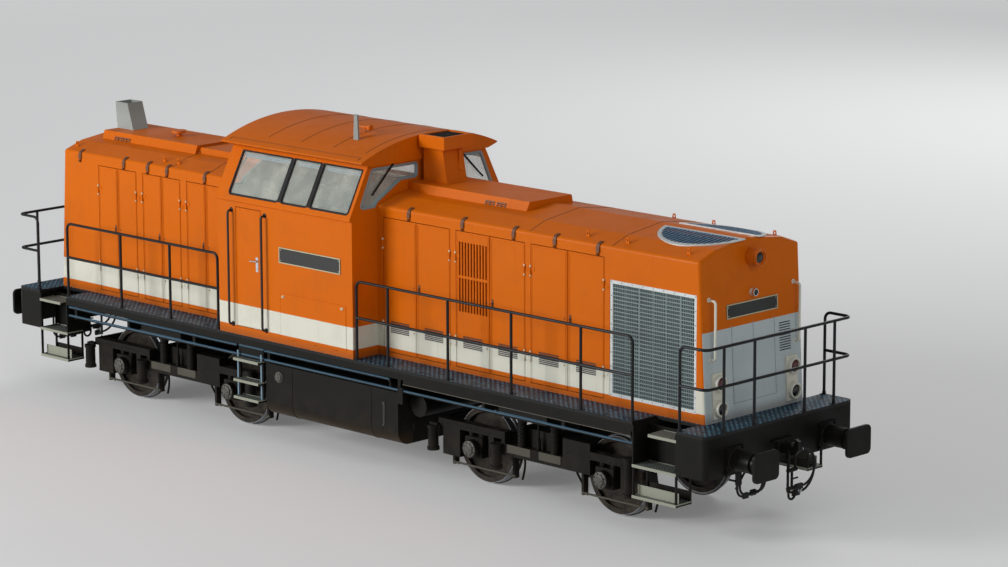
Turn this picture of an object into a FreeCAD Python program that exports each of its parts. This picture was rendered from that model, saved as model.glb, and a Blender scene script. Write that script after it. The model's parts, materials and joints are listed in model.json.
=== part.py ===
"""Centre-cab diesel locomotive on two two-axle bogies, as separate pieces with real joints.

Frame: +X towards the radiator end, +Y across, +Z up. The origin lies on the ground under the
middle of the locomotive, level with the lowest point of the wheel flanges, and every height in
the size sheet is given above the rail head. Millimetres throughout.
"""
import FreeCAD, Part
import math
import os
import re
import Sketcher

# ------------------------------------------------------------------------------------------
# Driving sizes
# ------------------------------------------------------------------------------------------

SIZES = {
    # wheelsets
    "flange_depth": 28,            # flange tip below the rail head
    "wheel_radius": 500,
    "axle_radius": 85,
    "journal_radius": 65,
    "journal_end": 1050,
    "hub_radius": 130,
    "hub_inner": 650,
    "hub_outer": 830,
    "rim_inside": 430,
    "web_inner": 735,
    "web_outer": 765,
    "wheel_back": 680,             # half the back-to-back distance
    "wheel_face": 815,
    "flange_width": 32,
    "flange_slope": 12,
    "bogie_set": 3096,             # bogie centre from the body's end
    "half_wheelbase": 1150,
    "running_gap": 0.3,
    # bogie frame; places along it are from the bogie's centre
    "frame_inner": 930,
    "frame_outer": 1060,
    "frame_top": 800,
    "frame_low": 700,
    "frame_half_length": 1800,
    "headstock_depth": 60,
    "leg_low": 430,
    "leg_width": 90,
    "guide_half": 260,
    "shelf_low": 500,
    "shelf_top": 650,
    "shelf_rear": 600,
    "shelf_front": 420,
    "shelf_post": 60,
    "panel_top": 900,
    "rear_panel_low": 330,
    "rear_panel_width": 310,
    "transom_half": 450,
    "transom_low": 560,
    "transom_top": 880,
    "pivot_radius": 200,
    "pot_radius": 70,
    "pot_collar": 12,
    "pot_collar_height": 40,
    "pot_across": 1110,
    "pot_bracket": 30,
    "pot_rear_set": 50,            # beyond the frame's rear end
    "pot_rear_low": 370,
    "pot_middle_set": 100,         # behind the shelf
    "pot_middle_low": 320,
    "pot_front_set": 200,          # back from the frame's front end
    "pot_front_low": 360,
    "pot_front_rise": 60,
    "shelf_plate_rear_start": 554,
    "shelf_plate_rear_end": 142,
    "shelf_plate_front_start": 9,
    "shelf_plate_front_end": 389,
    "shelf_plate_drop": 45,
    "shelf_plate_thickness": 8,
    # axle boxes, springs and brakes
    "box_half": 150,
    "box_low": 380,
    "box_top": 640,
    "box_inner": 940,
    "box_outer": 1075,
    "box_cover_radius": 120,
    "box_cover_depth": 85,
    "box_cap_radius": 70,
    "box_cap_depth": 15,
    "box_spring_radius": 45,
    "box_spring_place": 90,
    "bolster_spring_radius": 58,
    "bolster_spring_rear": 350,
    "bolster_spring_front": 230,
    "bolster_spring_across": 995,
    "spring_seat_radius": 64,
    "spring_seat_height": 25,
    "damper_place": 60,
    "damper_radius": 28,
    "damper_top": 800,
    "damper_rod_radius": 14,
    "shoe_clearance": 8,
    "shoe_depth": 55,
    "shoe_block": 130,
    "shoe_inner": 725,
    "shoe_outer": 805,
    "shoe_low": 380,
    "shoe_top": 620,
    "hanger_half": 20,
    "hanger_overlap": 60,
    "brake_rod_radius": 14,
    "brake_rod_height": 190,
    "brake_rod_across": 880,
    # underframe
    "deck_top": 1420,
    "deck_thickness": 40,
    "deck_half_width": 1388,
    "half_body_length": 6596,
    "frame_bottom": 1100,          # underside of the main sills
    "sill_inner": 500,
    "sill_outer": 640,
    "fascia_low": 1290,
    "fascia_thickness": 40,
    "outrigger_half": 25,
    "outrigger_set": 40,
    "outrigger_spread": 700,
    "cross_beam_half": 60,
    "cross_beam_place": 1600,
    "pipe_radius": 20,
    "pipe_height": 1130,
    "upper_pipe_height": 1252,
    "pipe_bend": 55,
    "pipe_inset": 43,
    "pipe_clear": 30,              # between a pipe's end and the cab ladder
    "upper_pipe_end": 190,         # upper pipe's turn from the tank's end
    "valve_length": 90,
    "valve_half": 32,
    "valve_low": 960,
    "valve_top": 1180,
    "beam_low": 870,
    "platform_length": 476,        # end platform, from the beam inwards
    "beam_thickness": 50,
    "beam_corner": 70,
    "recess_front": 720,           # step recess beside the front hood
    "recess_rear": 610,
    "recess_across": 960,
    "bolster_half": 420,
    "bolster_thickness": 180,
    # buffers
    "buffer_length": 524,          # plate face beyond the beam
    "buffer_across": 875,
    "buffer_height": 1060,
    "buffer_seat_half": 165,
    "buffer_seat_thickness": 30,
    "buffer_casing_radius": 130,
    "buffer_casing_length": 300,
    "buffer_stem_radius": 112,
    "buffer_plate_half_width": 230,
    "buffer_plate_half_height": 185,
    "buffer_plate_thickness": 35,
    "buffer_plate_corner": 70,
    # draw hook and screw coupling
    "hook_height": 1040,
    "hook_half_width": 30,
    "hook_half_depth": 45,
    "hook_length": 304,
    "hook_rise": 160,
    "hook_point": 55,
    "link_set": 120,               # links back from the hook's end
    "link_radius": 15,
    "link_across": 60,
    "link_nut_radius": 26,
    "link_middle": 800,
    "link_screw_radius": 17,
    "link_lower": 570,
    "link_low": 430,
    "link_handle": 110,
    "hook_bar_height": 1150,
    "hook_bar_half": 190,
    "hook_bar_depth": 45,
    "hook_bar_thickness": 20,
    # brake hoses
    "hose_radius": 15,
    "hose_out": 120,               # in front of the beam
    "hose_start": 190,
    "hose_height": 1030,
    "hose_bend": 280,
    "hose_second": 45,             # between neighbouring hoses
    "cock_half": 32,
    "head_length": 90,
    "head_half": 35,
    "hose_stay": 130,
    "stay_half": 12,
    "hose_leg_outer": 790,
    "hose_leg_inner": 320,
    "hose_leg_bend": 110,
    "hose_leg_low": 560,
    "hose_behind": 35,
    "hose_shift": 90,
    # fuel tank
    "tank_gap_front": 2260,        # tank's ends from the bogie centres
    "tank_gap_rear": 2180,
    "tank_half_width": 1350,
    "tank_low": 380,
    "tank_corner": 190,
    "reservoir_radius": 150,
    "reservoir_set": 210,          # beyond the tank's front end
    "reservoir_height": 930,
    "reservoir_half_length": 1180,
    "strap_place": 570,
    "strap_half_width": 40,
    "strap_half": 30,
    # steps
    "step_top_length": 460,
    "step_depth": 290,
    "step_thickness": 30,
    "step_side_thickness": 20,
    "step_post": 30,
    "step_inset": 2,
    "step_top": 1300,
    "step_middle": 880,
    "step_low": 490,
    "kick_height": 130,
    "kick_thickness": 10,
    "ladder_set_rear": 20,         # ladder beyond the cab door's rear edge
    "ladder_set_front": 40,
    "ladder_rail": 30,
    "ladder_proud": 25,            # beyond the cab's sill
    "ladder_tread": 165,
    "ladder_low": 570,
    "ladder_middle": 810,
    "ladder_top": 1100,
    # railings
    "rail_radius": 19,
    "rail_bend": 90,
    "hand_rail": 1053,             # above the deck
    "knee_rail": 565,
    "rail_inset": 25,
    "end_post_inner": 475,
    "end_post_outer": 1040,
    "rail_cab_gap_front": 50,
    "rail_setback": 20,            # last side post from the recess
    "rail_cab_gap_rear": 60,
    "rail_return": 446,            # how far the end railing turns back
    "front_rail_post_1": 589,      # side railing's posts from its start
    "front_rail_post_2": 1694,
    "front_rail_post_3": 2825,
    "front_rail_post_4": 4025,
    "rear_rail_post_1": 1176,
    "rear_rail_post_2": 2229,
    # hoods
    "hood_half_width": 930,
    "hood_wall": 30,
    "hood_split": 3350,            # where the roof sits on the walls
    "hood_eave": 3420,
    "hood_corner": 45,
    "front_hood_set": 409,         # hood foot back from the body's end
    "front_hood_lean": 112,
    "rear_hood_set": 416,
    "rear_hood_lean": 120,
    "door_low": 1480,
    "door_head": 3280,
    "door_gap": 10,
    "door_edge": 12,               # hinge pin centre outside the door's face
    "hinge_radius": 11,
    "hinge_length": 50,
    "hinge_strap": 60,
    "hinge_strap_thickness": 6,
    "hinge_end": 300,              # hinge from the door's end
    # posts and door leaves along the hoods, from the cab outwards
    "front_post_1": 110,
    "front_leaf_1a": 624,
    "front_leaf_1b": 626,
    "front_post_2": 100,
    "front_leaf_2a": 614,
    "front_leaf_2b": 629,
    "front_post_3": 96,
    "front_leaf_3a": 641,
    "front_leaf_3b": 629,
    "front_post_4": 91,
    "rear_post_1": 380,
    "rear_leaf_1a": 407,
    "rear_leaf_1b": 400,
    "rear_post_2": 128,
    "rear_leaf_2a": 405,
    "rear_leaf_2b": 408,
    "rear_post_3": 129,
    "rear_leaf_3a": 416,
    "rear_leaf_3b": 420,
    # slots in the doors and end walls
    "vent_half": 165,
    "vent_low": 1755,
    "vent_pitch": 23,
    "vent_slot": 9,
    "louvre_half": 265,
    "louvre_low": 2223,
    "louvre_rows_pitch": 474,
    "louvre_height": 440,
    "louvre_pitch": 53,
    "louvre_slot": 30,
    "face_louvre_inner": 495,
    "face_louvre_outer": 715,
    "face_louvre_low": 2110,
    "face_louvre_pitch": 31,
    "face_louvre_slot": 15,
    # hood roofs
    "roof_shoulder": 620,
    "roof_shoulder_rise": 110,
    "roof_ridge_rise": 190,
    "roof_thickness": 30,
    "roof_seat": 60,               # how far the roof's rim reaches inwards
    "hump_half": 450,
    "hump_half_cab": 360,
    "hump_lean": 60,
    "hump_corner": 60,
    "hump_top": 3670,
    "hump_taper": 550,
    "hump_length": 2260,
    "rear_hump_set": 390,
    "rear_hump_length": 2030,
    "rear_hump_low_half": 400,
    "rear_hump_drop": 30,
    "lug_height": 75,
    "lug_half": 35,
    "lug_thickness": 14,
    "lug_hole": 16,
    "lug_across": 800,
    "stay_low": 3285,
    "stay_proud": 16,
    "stay_hook": 30,
    "stay_shift": 130,             # from the joints between leaves
    # radiator and fan
    "grille_set": 157,
    "grille_low": 1535,
    "grille_top": 3007,
    "grille_thickness": 24,
    "grille_frame": 42,
    "grille_slot": 34,
    "grille_mullion": 16,
    "fan_set": 737,                # fan centre back from the hood's foot
    "fan_guard_radius": 670,
    "fan_guard_rim": 45,
    "fan_guard_thickness": 14,
    "fan_guard_pitch": 66,
    "fan_guard_slot": 44,
    "fan_band": 130,
    "fan_radius": 570,
    "fan_hub_radius": 130,
    "fan_hub_rise": 50,
    "fan_rise": 243,               # fan above the side grilles
    "fan_depth": 110,
    "fan_blade_thickness": 8,
    "fan_rim_thickness": 20,
    "fan_rim_half_height": 35,
    "fan_shaft_radius": 40,
    "fan_beam_half": 60,
    "fan_beam_height": 80,
    "fan_beam_drop": 260,
    "engine_rear": 1000,
    "engine_front": 4000,
    "engine_half_width": 520,
    "engine_low": 1520,
    "engine_top": 2950,
    "engine_foot_set": 200,
    "engine_foot_half": 80,
    # cab
    "cab_rear": -2200,
    "cab_front": 440,
    "cab_wall": 50,
    "cab_sill": 3240,
    "cab_sill_proud": 37,          # sill beyond the cab's side
    "cab_sill_rise": 50,
    "cab_eave": 3950,
    "cab_eave_half": 1085,
    "cab_floor_thickness": 40,
    "cab_roof_half": 1280,
    "cab_roof_tip": 4010,
    "cab_roof_round": 12,
    "cab_roof_top": 4280,
    "cab_roof_overhang": 60,
    "cab_roof_shell": 80,
    "window_low": 3335,
    "window_top": 3890,
    "window_corner": 45,
    "window_set_rear": 234,
    "window_set_front": 65,
    "window_split_rear": -960,
    "window_split_front": -390,
    "mullion": 50,
    "glass_thickness": 10,
    "end_window_inner": 190,
    "end_window_top": 3900,
    "end_window_top_out": 1010,
    "end_window_height": 500,
    "end_window_low_out": 1240,
    "end_window_margin": 40,
    "cab_door_set": 350,
    "cab_door_width": 520,
    "cab_door_low": 1540,
    "cab_door_top": 3180,
    "platform_set": 1150,
    "platform_top": 2150,
    "desk_depth": 380,
    "desk_top": 3120,
    "desk_half": 1150,
    "seat_set": 1000,
    "seat_across": 700,
    "seat_half": 240,
    "seat_height": 450,
    "seat_cushion": 90,
    "seat_back": 1050,
    "seat_post_radius": 60,
    # exhaust duct
    "duct_gap": 60,                # behind it, from the cab's roof
    "duct_foot": 560,              # front face from the cab, at the foot and at the top
    "duct_length": 470,
    "duct_half": 185,
    "duct_top": 4130,
    "duct_collar_height": 170,
    "duct_collar": 120,
    "duct_collar_half": 270,
    "duct_collar_wall": 35,
    "duct_mouth_depth": 120,
    "horn_tube_radius": 13,
    "horn_bell_radius": 42,
    "horn_bell_length": 90,
    "duct_horn_across": 90,
    "duct_horn_top": 4080,
    "duct_horn_low": 3830,
    "duct_horn_out": 45,
    # roof fittings
    "stack_set": 380,
    "stack_length": 350,
    "stack_half": 140,
    "stack_top": 4050,
    "stack_lean": 30,
    "stack_taper": 120,
    "stack_wall": 15,
    "stack_mouth": 150,
    "fin_place": -160,
    "fin_across": 720,
    "fin_half_length": 55,
    "fin_half_thickness": 14,
    "fin_top": 4530,
    "fin_taper": 25,
    "knob_place": -4600,
    "knob_post_radius": 40,
    "knob_radius": 105,
    "knob_height": 80,
    "knob_thickness": 35,
    "horn_place": -290,
    "horn_across": 450,
    "horn_height": 4320,
    "horn_half_length": 130,
    # lamps and grab rails
    "lamp_across": 692,
    "lamp_upper": 1907,
    "lamp_lower": 1592,
    "lamp_radius": 100,
    "lamp_depth": 75,
    "lamp_lens_radius": 78,
    "lamp_lens_depth": 22,
    "lamp_plate_half": 105,
    "lamp_plate_low": 1470,
    "lamp_plate_top": 2030,
    "lamp_plate_thickness": 22,
    "head_lamp_height": 3371,
    "head_lamp_radius": 100,
    "head_lamp_depth": 170,
    "head_lamp_lens": 88,
    "head_lamp_rib": 8,
    "head_lamp_rib_pitch": 45,
    "spot_lamp_height": 2930,
    "spot_lamp_radius": 45,
    "spot_lamp_depth": 70,
    "grab_radius": 16,
    "grab_stand": 70,
    "grab_bend": 40,
    "grab_across": 790,
    "grab_low": 2206,
    "grab_high": 2936,
    "cab_grab_low": 1560,
    "cab_grab_high": 3120,
    "cab_grab_gap": 75,
}

# places that follow from the sizes
PLACES = {
    "bogie_place": "half_body_length - bogie_set",
    "tank_front": "bogie_place - tank_gap_front",
    "tank_rear": "-(bogie_place - tank_gap_rear)",
    "reservoir_place": "tank_front + reservoir_set",
    "beam_inner": "half_body_length - platform_length",
    "recess_front_end": "beam_inner - recess_front",
    "recess_rear_end": "beam_inner - recess_rear",
    "buffer_face": "half_body_length + buffer_length",
    "hook_reach": "half_body_length + hook_length",
    "link_place": "hook_reach - link_set",
    "hose_place": "half_body_length + hose_out",
    "step_start": "beam_inner - step_top_length",
    "end_rail_start": "half_body_length - rail_return",
    "side_rail_front_start": "cab_front + rail_cab_gap_front",
    "side_rail_front_end": "recess_front_end - rail_setback",
    "side_rail_rear_start": "-(recess_rear_end - rail_setback)",
    "side_rail_rear_end": "cab_rear - rail_cab_gap_rear",
    "front_hood_foot": "half_body_length - front_hood_set",
    "front_hood_head": "front_hood_foot - front_hood_lean",
    "rear_hood_foot": "-(half_body_length - rear_hood_set)",
    "rear_hood_head": "rear_hood_foot + rear_hood_lean",
    "hump_taper_end": "cab_front + hump_taper",
    "hump_front": "cab_front + hump_length",
    "rear_hump_end": "rear_hood_foot + rear_hump_set",
    "rear_hump_step": "rear_hump_end + rear_hump_length",
    "rear_hump_low_top": "hump_top - rear_hump_drop",
    "front_bay_1": "cab_front + front_post_1",
    "front_bay_2": "front_bay_1 + front_leaf_1a + front_leaf_1b + front_post_2",
    "front_bay_3": "front_bay_2 + front_leaf_2a + front_leaf_2b + front_post_3",
    "rear_bay_1": "cab_rear - rear_post_1",
    "rear_bay_2": "rear_bay_1 - rear_leaf_1a - rear_leaf_1b - rear_post_2",
    "rear_bay_3": "rear_bay_2 - rear_leaf_2a - rear_leaf_2b - rear_post_3",
    "grille_rear": "front_bay_3 + front_leaf_3a + front_leaf_3b + front_post_4",
    "grille_front": "front_hood_foot - grille_set",
    "fan_place": "front_hood_foot - fan_set",
    "fan_height": "grille_top + fan_rise",
    "stack_rear": "rear_hood_foot + stack_set",
    "stack_front": "stack_rear + stack_length",
    "cab_door_rear": "cab_rear + cab_door_set",
    "cab_door_front": "cab_door_rear + cab_door_width",
    "window_rear": "cab_rear + window_set_rear",
    "window_front": "cab_front - window_set_front",
    "end_window_low": "end_window_top - end_window_height",
    "ladder_rear": "cab_door_rear - ladder_set_rear",
    "ladder_front": "cab_door_front - ladder_set_front",
    "cab_sill_out": "deck_half_width + cab_sill_proud",
    "ladder_out": "cab_sill_out + ladder_proud",
    "ladder_in": "ladder_out - ladder_tread",
    "duct_rear": "cab_front + cab_roof_overhang + duct_gap",
    "duct_front": "cab_front + duct_length",
    "duct_collar_top": "duct_top + duct_collar_height",
    "platform_rear": "cab_rear + platform_set",
    "seat_place": "cab_front - seat_set",
}

doc = FreeCAD.newDocument("diesel_locomotive")
sheet = doc.addObject("Spreadsheet::Sheet", "sizes")
for row, (alias, millimetres) in enumerate(SIZES.items(), start=1):
    sheet.set(f"A{row}", alias)
    sheet.set(f"B{row}", str(millimetres))
    sheet.setAlias(f"B{row}", alias)
doc.recompute()

NODES = []

# ------------------------------------------------------------------------------------------
# Building with the sheet: every length below is an expression in the sheet's names
# ------------------------------------------------------------------------------------------

LIE = {
    "x": FreeCAD.Rotation(FreeCAD.Vector(0, 1, 0), 90),
    "y": FreeCAD.Rotation(FreeCAD.Vector(1, 0, 0), -90),
    "z": FreeCAD.Rotation(),
}


def tied(text):
    """The expression with each place written out and the sheet's prefix before each size."""
    def write_out(word):
        name = word.group()
        if name in PLACES:
            return f"({tied(PLACES[name])})"
        return "sizes." + name if name in SIZES else name
    return re.sub(r"[a-z]\w*", write_out, text)


def worth(text):
    """The expression's present value in millimetres."""
    return float(sheet.evalExpression(tied(text)))


def up(height):
    """A height above the rail head as a Z in the model's frame."""
    return f"({height} + flange_depth)"


def side(sign, low, high):
    """A span on the left (+1) or mirrored to the right (-1)."""
    return (low, high) if sign > 0 else (f"-({high})", f"-({low})")


def both(half):
    """A span centred on zero."""
    return (f"-({half})", half)


def about(middle, half):
    """A span centred on a place."""
    return (f"({middle}) - ({half})", f"({middle}) + ({half})")


def block(name, x, y, z):
    """A box; each axis is a (low, high) pair."""
    box = doc.addObject("Part::Box", name)
    for length, axis, (low, high) in zip(("Length", "Width", "Height"), "xyz", (x, y, z)):
        box.setExpression(length, tied(f"({high}) - ({low})"))
        box.setExpression(f"Placement.Base.{axis}", tied(low))
    return box


def laid(bar, x, y, z):
    """Lay a round piece along the axis whose place is a (low, high) pair."""
    places = {"x": x, "y": y, "z": z}
    along = next(axis for axis, place in places.items() if isinstance(place, tuple))
    low, high = places[along]
    places[along] = low
    bar.Placement = FreeCAD.Placement(FreeCAD.Vector(), LIE[along])
    bar.setExpression("Height", tied(f"({high}) - ({low})"))
    for axis, place in places.items():
        bar.setExpression(f"Placement.Base.{axis}", tied(place))
    return bar


def rod(name, radius, x, y, z):
    """A round bar."""
    bar = doc.addObject("Part::Cylinder", name)
    bar.setExpression("Radius", tied(radius))
    return laid(bar, x, y, z)


def cone(name, low_radius, high_radius, x, y, z):
    """A round taper, its radii at the low and the high end."""
    bar = doc.addObject("Part::Cone", name)
    bar.setExpression("Radius1", tied(low_radius))
    bar.setExpression("Radius2", tied(high_radius))
    return laid(bar, x, y, z)


def elbow(name, radius, bend, centre, first, second):
    """A quarter bend about a centre, from the direction first to the direction second."""
    ring = doc.addObject("Part::Torus", name)
    ring.Angle3 = 90
    start = FreeCAD.Vector(*first)
    end = FreeCAD.Vector(*second)
    turn = FreeCAD.Rotation(start, end, start.cross(end), "XYZ")
    ring.Placement = FreeCAD.Placement(FreeCAD.Vector(), turn)
    ring.setExpression("Radius1", tied(bend))
    ring.setExpression("Radius2", tied(radius))
    for axis, place in zip("xyz", centre):
        ring.setExpression(f"Placement.Base.{axis}", tied(place))
    return ring


def fused(name, pieces):
    """One solid out of touching pieces."""
    union = doc.addObject("Part::MultiFuse", name)
    union.Shapes = pieces
    return union


def cut(name, base, tools):
    """The base with every tool taken out of it."""
    left = doc.addObject("Part::Cut", name)
    left.Base = base
    left.Tool = tools[0] if len(tools) == 1 else fused(name + "_tools", tools)
    return left


def common(name, first, second):
    """What two solids share."""
    shared = doc.addObject("Part::Common", name)
    shared.Base = first
    shared.Tool = second
    return shared


def together(name, pieces):
    """Several solids that do not touch, kept as one piece."""
    group = doc.addObject("Part::Compound", name)
    group.Links = pieces
    return group


def node(name, shape):
    """Name a finished piece; its name is its file's name."""
    shape.Label = name
    NODES.append(shape)
    return shape


PLANES = {"XY": "XY_Plane", "XZ": "XZ_Plane", "YZ": "YZ_Plane"}


def outline(body, plane, points, offset, arcs=None):
    """A closed sketch on one of the body's planes through tied points.

    arcs gives, by the index of the point that it starts from, the rise of an arc over a level
    chord; the other sides are straight.
    """
    arcs = arcs or {}
    sketch = body.newObject("Sketcher::SketchObject", body.Name + "_outline")
    flat = next(item for item in body.Origin.OriginFeatures if item.Role == PLANES[plane])
    sketch.AttachmentSupport = [(flat, "")]
    sketch.MapMode = "FlatFace"
    sketch.setExpression("AttachmentOffset.Base.z", tied(offset))
    count = len(points)
    places = [FreeCAD.Vector(worth(across), worth(along), 0) for across, along in points]
    for index in range(count):
        start = places[index]
        end = places[(index + 1) % count]
        if index in arcs:
            middle = (start + end) / 2 + FreeCAD.Vector(0, worth(arcs[index]), 0)
            sketch.addGeometry(Part.Arc(start, middle, end))
        else:
            sketch.addGeometry(Part.LineSegment(start, end))
    # an arc is stored anticlockwise, so a sketch that runs clockwise meets it at its other end
    ends = {}
    for index in range(count):
        if index in arcs and (sketch.Geometry[index].StartPoint - places[index]).Length > 0.01:
            ends[index] = (2, 1)
        else:
            ends[index] = (1, 2)
    for index in range(count):
        following = (index + 1) % count
        link = Sketcher.Constraint("Coincident", index, ends[index][1], following, ends[following][0])
        sketch.addConstraint(link)
    for index, (across, along) in enumerate(points):
        for kind, text, place in (("DistanceX", across, places[index].x),
                                  ("DistanceY", along, places[index].y)):
            number = sketch.addConstraint(Sketcher.Constraint(kind, -1, 1, index, ends[index][0], place))
            sketch.setExpression(f"Constraints[{number}]", tied(text))
    for index, rise in arcs.items():
        chord = f"abs(({points[(index + 1) % count][0]}) - ({points[index][0]}))"
        radius = f"(({chord})^2 / 4 + ({rise})^2) / (2 * abs({rise}))"
        number = sketch.addConstraint(Sketcher.Constraint("Radius", index, worth(radius)))
        sketch.setExpression(f"Constraints[{number}]", tied(radius))
    return sketch


def prism(name, plane, points, span, arcs=None, rounded=None):
    """An outline padded across its plane over a span.

    rounded is a radius and the edges that it rounds: the index of a point for the edge that
    stands on it, or (index, index, end) for a side of the outline at the span's low or high end.
    """
    body = doc.addObject("PartDesign::Body", name)
    low, high = span
    # the XZ plane's normal points to -Y
    offset = f"-({high})" if plane == "XZ" else low
    sketch = outline(body, plane, points, offset, arcs)
    pad = body.newObject("PartDesign::Pad", name + "_pad")
    pad.Profile = sketch
    pad.setExpression("Length", tied(f"({high}) - ({low})"))
    sketch.Visibility = False
    if rounded:
        radius, places = rounded
        doc.recompute()
        spots = [(worth(across), worth(along)) for across, along in points]
        ends = (worth(low), worth(high))
        wanted = []
        for place in places:
            chosen = (*place, place[2]) if isinstance(place, tuple) else (place, place, 0, 1)
            first, second, end, other_end = chosen
            wanted.append(((*spots[first], ends[end]), (*spots[second], ends[other_end])))
        edges = [f"Edge{number}" for number, edge in enumerate(pad.Shape.Edges, start=1)
                 if any(runs_between(edge, plane, first, second) for first, second in wanted)]
        fillet = body.newObject("PartDesign::Fillet", name + "_round")
        fillet.Base = (pad, edges)
        fillet.setExpression("Radius", tied(radius))
    return body


ALONG = {"XY": ("X", "Y", "Z"), "XZ": ("X", "Z", "Y"), "YZ": ("Y", "Z", "X")}


def runs_between(edge, plane, first, second):
    """Whether an edge joins two spots, each given in the plane and then across it."""
    ends = [[getattr(end, axis) for axis in ALONG[plane]] for end in edge.Vertexes]
    return len(ends) == 2 and any(math.dist(ends[0], one) < 0.01 and math.dist(ends[1], other) < 0.01
                                  for one, other in ((first, second), (second, first)))


def revolved(name, points):
    """Points of (radius, place along Y) turned about the Y axis."""
    body = doc.addObject("PartDesign::Body", name)
    sketch = outline(body, "XY", points, "0")
    turned = body.newObject("PartDesign::Revolution", name + "_turned")
    turned.Profile = sketch
    turned.ReferenceAxis = (sketch, ["V_Axis"])
    turned.Angle = 360
    sketch.Visibility = False
    return body


def mirrored(points):
    """The points followed by their mirror images across the vertical axis, as one closed outline."""
    return points + [(f"-({across})", along) for across, along in reversed(points) if across != "0"]


# ------------------------------------------------------------------------------------------
# Wheelsets: axle, hubs and wheels turn as one
# ------------------------------------------------------------------------------------------

AXLES = {
    "wheelset_1": "bogie_place + half_wheelbase",
    "wheelset_2": "bogie_place - half_wheelbase",
    "wheelset_3": "-(bogie_place) + half_wheelbase",
    "wheelset_4": "-(bogie_place) - half_wheelbase",
}
WHEEL_SIDE = [
    ("axle_radius", "hub_inner"),
    ("hub_radius", "hub_inner"),
    ("hub_radius", "web_inner"),
    ("rim_inside", "web_inner"),
    ("rim_inside", "wheel_back"),
    ("wheel_radius + flange_depth", "wheel_back"),
    ("wheel_radius + flange_depth", "wheel_back + flange_width"),
    ("wheel_radius", "wheel_back + flange_width + flange_slope"),
    ("wheel_radius", "wheel_face"),
    ("rim_inside", "wheel_face"),
    ("rim_inside", "web_outer"),
    ("hub_radius", "web_outer"),
    ("hub_radius", "hub_outer"),
    ("journal_radius", "hub_outer"),
    ("journal_radius", "journal_end"),
    ("0", "journal_end"),
]
AXLE_HEIGHT = up("wheel_radius")


def make_wheelset(name, place):
    far_side = [(radius, f"-({along})") for radius, along in reversed(WHEEL_SIDE)]
    wheelset = revolved(name, far_side + WHEEL_SIDE)
    wheelset.setExpression("Placement.Base.x", tied(place))
    wheelset.setExpression("Placement.Base.z", tied(AXLE_HEIGHT))
    node(name, wheelset)


for name, place in AXLES.items():
    make_wheelset(name, place)

# ------------------------------------------------------------------------------------------
# Bogies: welded frame with its guide pots, and the axle boxes, springs and brakes on it
# ------------------------------------------------------------------------------------------

BOGIES = {"front": "bogie_place", "rear": "-(bogie_place)"}
GUIDE_NEAR = "half_wheelbase - guide_half"
GUIDE_FAR = "half_wheelbase + guide_half"
# a side frame all round, from its rear end: place from the bogie's centre, height
SIDE_FRAME = [
    ("-frame_half_length", "frame_top"),
    ("-shelf_rear", "frame_top"),
    ("-shelf_rear", "shelf_top"),
    ("shelf_front", "shelf_top"),
    ("shelf_front", "panel_top"),
    (GUIDE_NEAR, "panel_top"),
    (GUIDE_NEAR, "frame_top"),
    ("frame_half_length", "frame_top"),
    ("frame_half_length", "frame_low"),
    (f"{GUIDE_FAR} + leg_width", "frame_low"),
    (f"{GUIDE_FAR} + leg_width", "leg_low"),
    (GUIDE_FAR, "leg_low"),
    (GUIDE_FAR, "frame_low"),
    (GUIDE_NEAR, "frame_low"),
    (GUIDE_NEAR, "shelf_low"),
    ("-(shelf_rear + shelf_post)", "shelf_low"),
    ("-(shelf_rear + shelf_post)", "frame_low"),
    (f"-({GUIDE_NEAR} - leg_width)", "frame_low"),
    (f"-({GUIDE_NEAR} - leg_width)", "leg_low"),
    (f"-({GUIDE_NEAR})", "leg_low"),
    (f"-({GUIDE_NEAR})", "frame_low"),
    (f"-({GUIDE_FAR})", "frame_low"),
    (f"-({GUIDE_FAR})", "rear_panel_low"),
    (f"-({GUIDE_FAR} + rear_panel_width)", "rear_panel_low"),
    (f"-({GUIDE_FAR} + rear_panel_width)", "frame_low"),
    ("-frame_half_length", "frame_low"),
]
# guide pots outside the frame: place from the centre, lower end, upper end, bracket
POTS = [
    ("-(frame_half_length + pot_rear_set)", "pot_rear_low", "frame_low", "frame_low"),
    ("-(shelf_rear + pot_middle_set)", "pot_middle_low", "shelf_top", "shelf_low"),
    ("frame_half_length - pot_front_set", "pot_front_low", "frame_top + pot_front_rise", "frame_low"),
]
SHELF_PLATES = [
    ("-shelf_plate_rear_start", "-shelf_plate_rear_end"),
    ("shelf_plate_front_start", "shelf_plate_front_end"),
]


def make_bogie_frame(end, centre):
    pieces = []
    shape = [(place, up(height)) for place, height in SIDE_FRAME]
    for sign in (1, -1):
        beam = prism(f"side_frame_{end}", "XZ", shape, side(sign, "frame_inner", "frame_outer"))
        beam.setExpression("Placement.Base.x", tied(centre))
        pieces.append(beam)
        start = f"{centre} + {sign} * (frame_half_length - headstock_depth / 2)"
        pieces.append(block(f"bogie_headstock_{end}", about(start, "headstock_depth / 2"),
                            both("frame_inner"), (up("frame_low"), up("frame_top"))))
        for place, low, top, bracket in POTS:
            pieces.extend(make_pot(f"{centre} + {place}", sign, low, top, bracket))
        for start, stop in SHELF_PLATES:
            pieces.append(block("shelf_plate", (f"{centre} + {start}", f"{centre} + {stop}"),
                                side(sign, "frame_outer", "frame_outer + shelf_plate_thickness"),
                                (up("shelf_low + shelf_plate_drop"), up("shelf_top"))))
    pieces.append(block(f"transom_{end}", about(centre, "transom_half"), both("frame_inner"),
                        (up("transom_low"), up("transom_top"))))
    pieces.append(rod(f"pivot_{end}", "pivot_radius", centre, "0",
                      (up("transom_top"), up("frame_bottom - running_gap"))))
    node(f"bogie_frame_{end}", fused(f"bogie_frame_{end}", pieces))


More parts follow.
